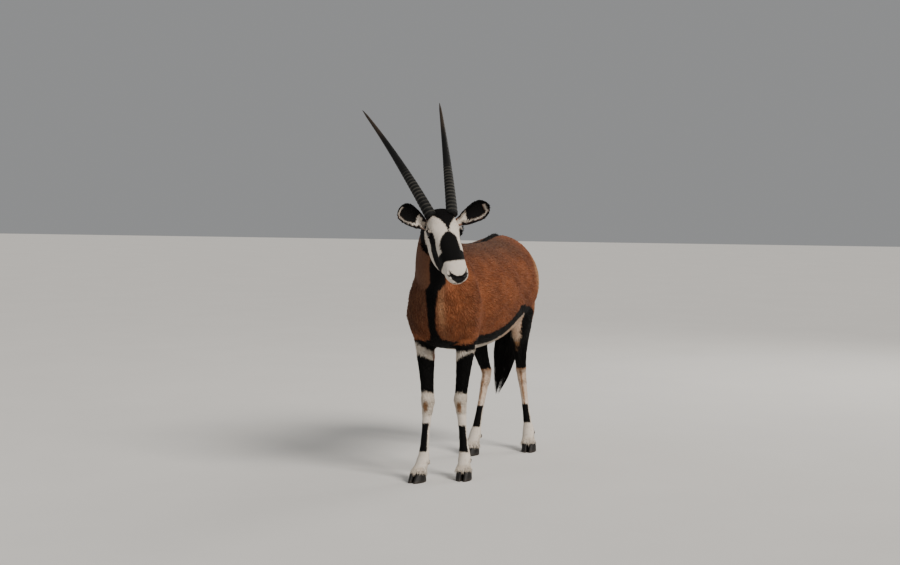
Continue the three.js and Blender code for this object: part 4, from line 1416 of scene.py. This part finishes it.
def back_crest():
    spots = np.array([reach_skin(place(0, y, 1500), (0, 0, -1)) for y in np.linspace(600, 815, 16)])
    way = np.tile([0.0, 1.0, 0.0], (len(spots), 1))
    out = np.tile([0.0, 0.0, 1.0], (len(spots), 1))
    crest("back_crest", spots, way, out, 700, 60, 3.6, 0.34, 14, "torso",
          {"dark": ALL_BLACK, "pale": FAR_OUT, "grey_and_shade": 1.0, "buff_and_light": 0})


def lashes():
    roots, ways, ups = [], [], []
    for _, centre, side in EYE_BALLS:
        forward, up, out = eye_frame(side)
        for angle in np.linspace(0.12, 0.88, 46) * math.pi:
            u, v = 17.8 * math.cos(angle), 11.4 * math.sin(angle)
            depth = math.sqrt(max((EYE_RADIUS / MM + 3) ** 2 - u * u - v * v, 1))
            roots.append(centre + (forward * u + up * v + out * depth) * MM)
            ways.append(unit(out * 0.8 + up * 0.35 + forward * 0.3 * math.cos(angle)))
            ups.append(up)
    roots, ways, ups = map(np.array, (roots, ways, ups))
    count = len(roots)
    paths = lying_paths(roots, ways, -ups, np.full(count, 0.011), np.full(count, 0.35), 3, droop=1.1)
    piece = blades("lashes", paths, ups, np.full(count, 0.0009), np.full(count, "head"),
                   tuft_finish("lash_strands"), marks={"dark": ALL_BLACK, "pale": FAR_OUT, "bare": FAR_OUT})


def ear_fringe():
    """Longer pale hair that crosses the cup of each ear from its edges."""
    chosen = named(skin_parts, "ear")
    index, weight = scatter(skin_points, skin_faces, chosen.astype(float), 9000)
    roots = at_places(skin_points, index, weight)
    normals = unit(at_places(skin_normals, index, weight))
    names = skin_parts[index[:, 0]]
    keep = np.zeros(len(roots), bool)
    ways = np.zeros_like(roots)
    for name in EAR_ROOT:
        here = names == name
        e = EAR_FRAMES[name]
        share, across, edge, inside = ear_places(roots[here], name)
        keep[here] = inside & (edge > 12) & (edge < 21) & (share > 0.12) & (share < 0.9)
        inward = -np.sign(across)[:, None] * e["wide"]
        ways[here] = unit(inward * 0.25 + e["axis"] + e["opens"] * 0.2)
    keep &= np.cumsum(keep) <= 700
    roots, normals, ways, names = roots[keep], normals[keep], ways[keep], names[keep]
    count = len(roots)
    lengths = (9 + 8 * rng.random(count)) * MM
    paths = lying_paths(roots, ways, normals, lengths, np.full(count, 0.3), 3, droop=0.4, curl=0.1)
    piece = blades("ear_fringe", paths, normals, np.full(count, 1.0 * MM), names, tuft_finish("ear_strands"))


switch_hair()
nape_crest()
back_crest()
lashes()
ear_fringe()

# Horns

HORN_SIDES = 36
HORN_RINGS = 15
HORN_RINGED = 0.40
HORN_CUTS = 40


def make_horn(name):
    """A long horn with close rings on its lower half, round the solid's own middle line."""
    points = points_of(nodes[name].data)
    foot = horn_feet()[HORN_NODES.index(name)]
    tip = points[np.linalg.norm(points - foot, axis=1).argmax()]
    length = np.linalg.norm(tip - foot)
    axis = (tip - foot) / length
    share = (points - foot) @ axis / length
    edges = edges_of(nodes[name].data)
    steps = np.linspace(0.012, 0.985, HORN_CUTS)
    centres, radii = [], []
    for t in steps:
        cut = (share[edges[:, 0]] - t) * (share[edges[:, 1]] - t) < 0
        one, two = edges[cut].T
        mix = ((t - share[one]) / (share[two] - share[one]))[:, None]
        near = points[one] * (1 - mix) + points[two] * mix
        centres.append((near.max(0) + near.min(0)) / 2)
        away = near - centres[-1]
        away -= (away @ axis)[:, None] * axis
        radii.append(np.linalg.norm(away, axis=1).max())
    fits = [np.polyfit(steps, np.array(centres)[:, k], 3) for k in range(3)]
    radius_fit = np.polyfit(steps[1:-1], np.array(radii)[1:-1], 2)
    t = np.concatenate([np.linspace(-0.035, 0.6, 300), np.linspace(0.6, 1.0, 121)[1:]])
    line = np.stack([np.polyval(fit, t) for fit in fits], 1)
    radius = np.polyval(radius_fit, np.clip(t, 0, 0.99)) * 0.955
    radius = np.where(t > 0.93, radius * np.sqrt(np.clip((1.004 - t) / 0.074, 0, 1)), radius)
    ringed = 1 - ramp(t, HORN_RINGED - 0.10, HORN_RINGED + 0.10)
    pitch = 1.28 - 0.5 * t
    phase = HORN_RINGS / HORN_RINGED * (t - 0.14 * t * t) / pitch * 1.18
    wave = np.abs(np.sin(math.pi * phase)) ** 0.8
    raised = (wave * 2 - 1) * ringed
    heading = unit(np.gradient(line, axis=0))
    across = unit(np.cross(heading[0], FACE_SIDE))
    rings = []
    angle = np.linspace(0, 2 * math.pi, HORN_SIDES, endpoint=False)
    for i, (spot, way) in enumerate(zip(line, heading)):
        across = unit(across - way * (across @ way))
        other = np.cross(way, across)
        lean = 1 + 0.35 * np.cos(angle)
        reach = radius[i] * (1 + 0.042 * raised[i] * lean + 0.012 * ringed[i] * np.sin(3 * angle + 9 * t[i]))
        round_it = np.cos(angle)[:, None] * across + np.sin(angle)[:, None] * other
        rings.append(spot + reach[:, None] * round_it)
    rings = np.vstack(rings + [line[:1], line[-1:] + heading[-1:] * 0.0008])
    piece = mesh_object(name + "_ringed", rings, ring_triangles(len(t), HORN_SIDES))
    share_up = np.concatenate([np.repeat(t, HORN_SIDES), [t[0], t[-1]]])
    ridge = np.concatenate([np.repeat(raised * 0.5 + 0.5 * ringed, HORN_SIDES), [0, 0]])
    give_number(piece.data, "up", share_up)
    give_number(piece.data, "ridge", ridge)
    piece.data.materials.append(horn_finish())
    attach(piece, "root")
    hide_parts(name)


def horn_finish():
    if "horn_grain" in bpy.data.materials:
        return bpy.data.materials["horn_grain"]
    f = Finish("horn_grain", Specular_IOR_Level=0.22)
    up = f.mark("up")
    where = f.own_place()
    grain = f.noise(140, f.stretched(where, (1, 1, 0.12)), 4)
    patch = f.noise(22, where, 3)
    ridge = (f.mark("ridge") + (patch - 0.5) * 0.5).eased(0.72, 1.1)
    low = f.blend(ridge, linear(9, 9, 8), linear(64, 62, 56))
    middle = linear(8, 8, 7)
    upper = f.blend(grain, linear(30, 24, 19), linear(66, 54, 42))
    colour = f.blend((up + (patch - 0.5) * 0.06).eased(0.34, 0.46), low, middle)
    colour = f.blend((up + (patch - 0.5) * 0.08).eased(0.60, 0.82), colour, upper)
    colour = f.blend(grain * 0.4, colour, linear(20, 18, 18), "MULTIPLY")
    return f.set(Base_Color=colour, Roughness=0.44 + grain * 0.26 + (1 - up.eased(0.4, 0.6)) * 0.12,
                 Normal=f.bump(grain + patch * 0.3, 0.0008, 0.6))


for name in HORN_NODES:
    make_horn(name)

# Hooves

CLAWS = [f"{side}_claw_{which}" for side in LEG_SIDES for which in ("outer", "inner")]
HOOF_CELL = 0.0026
DEWCLAW_WIDE = 0.0075
DEWCLAW_LONG = 0.014


def hoof_finish():
    f = Finish("hoof_grain", Specular_IOR_Level=0.25)
    where = f.own_place()
    rings = f.noise(9, f.stretched(where, (6, 6, 60)), 3)
    wear = f.noise(60, where, 4)
    height = f.node("ShaderNodeSeparateXYZ", None, {0: where}, output=2)
    colour = f.blend(rings.eased(0.3, 0.8), linear(12, 11, 11), linear(30, 26, 24))
    colour = f.blend((0.012 - height).eased(-0.010, 0.012) * wear, colour, linear(58, 50, 43))
    return f.set(Base_Color=colour, Roughness=0.42 + wear * 0.3,
                 Normal=f.bump(rings + wear * 0.3, 0.0007, 0.7))


def dewclaw_bodies():
    """Two small drops behind each fetlock, on the skin."""
    bodies = []
    for side in LEG_SIDES:
        fetlock = LEG_LINES[side][1]
        for way in (-1, 1):
            body = bmesh.new()
            bmesh.ops.create_icosphere(body, subdivisions=3, radius=1.0)
            aim = place(fetlock[0] + way * 11, fetlock[1] + 70, fetlock[2] - 14)
            spot = body_tree.find_nearest(aim)[0]
            for vertex in body.verts:
                x, y, z = vertex.co
                wide = DEWCLAW_WIDE * (1 - 0.35 * max(-z, 0))
                vertex.co = (spot.x + x * wide, spot.y + y * wide + 0.001 - z * 0.002,
                             spot.z + z * DEWCLAW_LONG - 0.004)
            bodies.append(body)
    return bodies


def make_hooves():
    mesh = remeshed("hooves", [welded_copy(name) for name in CLAWS] + dewclaw_bodies(), HOOF_CELL)
    points = points_of(mesh)
    keep_flat = ramp(points[:, 2], 0.002, 0.008)
    smooth = relax(points, edges_of(mesh), 6, 0.9, inward=0.5, outward=-0.51)
    points = points + (smooth - points) * keep_flat[:, None]
    move_points(mesh, points)
    shade_smooth(mesh)
    mesh.materials.clear()
    mesh.materials.append(hoof_finish())
    piece = put_in_scene("hooves", mesh)
    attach(piece, "root")
    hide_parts(*CLAWS)


make_hooves()

# Eyes


def eye_finish():
    """Wet eye: a wide dark pupil in a brown iris, with a dark edge."""
    f = Finish("eye_wet", Roughness=0.08, Coat_Weight=1.0, Coat_Roughness=0.02, IOR=1.38)
    look = f.spot("look")
    forward, up = (f.node("ShaderNodeSeparateXYZ", None, {0: look}, output=k) for k in range(2))
    ring = f.sum("POWER", forward * forward * 0.72 + up * up * 1.25, 0.5)
    streaks = f.noise(46, look, 4)
    iris = f.blend(streaks, linear(22, 13, 9), linear(52, 30, 18))
    pupil = f.sum("POWER", forward * forward * 4.6 + up * up * 21.0, 0.5)
    colour = f.blend(pupil.eased(1.0, 1.22), linear(5, 6, 9), iris)
    colour = f.blend(ring.eased(0.60, 0.72), colour, linear(14, 9, 8))
    colour = f.blend(ring.eased(0.90, 1.0), colour, linear(46, 32, 28))
    return f.set(Base_Color=colour)


EYE_ROWS = 40
EYE_COLUMNS = 64
# the ball as a share of the solid's, and the front's bulge
EYE_FIT = 0.985
EYE_BULGE = 0.05


def make_eyes():
    finish = eye_finish()
    angle = np.linspace(0, 2 * math.pi, EYE_COLUMNS, endpoint=False)
    for name, centre, side in EYE_BALLS:
        forward, up, out = eye_frame(side)
        radius = EYE_RADIUS * EYE_FIT
        points, looks = [], []
        for polar in np.linspace(0, math.pi, EYE_ROWS + 1)[1:-1]:
            bulge = 1 + EYE_BULGE * math.exp(-(polar / 0.62) ** 4)
            look = np.stack([math.sin(polar) * np.cos(angle), math.sin(polar) * np.sin(angle),
                             np.full(EYE_COLUMNS, math.cos(polar))], 1)
            looks.append(look)
            points.append(centre + radius * bulge * (look @ np.array([forward, up, out])))
        looks = np.vstack(looks + [[(0, 0, 1), (0, 0, -1)]])
        points = np.vstack(points + [[centre + out * radius * (1 + EYE_BULGE), centre - out * radius]])
        piece = mesh_object(name + "_ball", points, ring_triangles(EYE_ROWS - 1, EYE_COLUMNS))
        body = bmesh.new()
        body.from_mesh(piece.data)
        bmesh.ops.recalc_face_normals(body, faces=body.faces)
        body.to_mesh(piece.data)
        body.free()
        give_vector(piece.data, "look", looks)
        piece.data.materials.append(finish)
        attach(piece, "root")
        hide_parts(name)


make_eyes()

# Camera, floor and light

CAMERA = (3.1014, -7.8693, 1.53)
CAMERA_AIM = (-0.368, 0.930)
CAMERA_DIP = 102.5 / 1600
CAMERA_LENS = 64
CAMERA_FILM = 36
LIT_PLACE = (0.1, -0.1, 0.9)
SKY = {"Color": (0.86, 0.87, 0.88, 1), "Strength": 0.33}


def make_camera():
    data = bpy.data.cameras.new("camera")
    data.lens = CAMERA_LENS
    data.sensor_width = CAMERA_FILM
    data.dof.use_dof = False
    camera = put_in_scene("camera", data)
    camera.location = CAMERA
    aim = Vector((CAMERA_AIM[0], CAMERA_AIM[1], 0)).normalized() + Vector((0, 0, -CAMERA_DIP))
    camera.rotation_euler = aim.to_track_quat("-Z", "Y").to_euler()
    bpy.context.scene.camera = camera


def add_lamp(name, kind, location, aim, strength, colour):
    data = bpy.data.lights.new(name, kind)
    data.energy = strength
    data.color = colour
    lamp = put_in_scene(name, data)
    lamp.location = location
    lamp.rotation_euler = (Vector(aim) - Vector(location)).to_track_quat("-Z", "Y").to_euler()
    return data


def soft_light(name, location, size, strength, colour):
    """A round lamp that looks at the middle of the animal."""
    data = add_lamp(name, "AREA", location, LIT_PLACE, strength, colour)
    data.shape = "DISK"
    data.size = size


def broad_light(name, location, strength, colour):
    """One even, soft light that reaches the whole floor."""
    data = add_lamp(name, "SUN", location, (0, 0, 0), strength, colour)
    data.angle = math.radians(24)


def floor_finish():
    f = Finish("studio_floor", Specular_IOR_Level=0.2)
    cloud = f.noise(1.4, f.own_place(), 3)
    grain = f.noise(260, f.own_place(), 2)
    colour = f.blend(cloud, linear(206, 204, 200), linear(214, 212, 208))
    return f.set(Base_Color=colour, Roughness=0.86 + grain * 0.1, Normal=f.bump(grain, 0.0006, 0.2))


make_camera()
broad_light("key", (5.4, -2.6, 4.2), 3.9, (1.0, 0.95, 0.89))
soft_light("fill", (-3.6, -6.0, 2.6), 4.5, 70, (0.92, 0.96, 1.0))
soft_light("rear", (2.5, 5.5, 4.0), 3.5, 150, (1.0, 0.97, 0.93))

FLOOR_HALF = 30
floor_corners = [(x * FLOOR_HALF, y * FLOOR_HALF, 0) for x, y in ((-1, -1), (1, -1), (1, 1), (-1, 1))]
floor = mesh_object("floor", floor_corners, [(0, 1, 2, 3)])
floor.data.materials.append(floor_finish())

world = bpy.data.worlds.new("studio")
bpy.context.scene.world = world
world.use_nodes = True
for key, value in SKY.items():
    world.node_tree.nodes["Background"].inputs[key].default_value = value
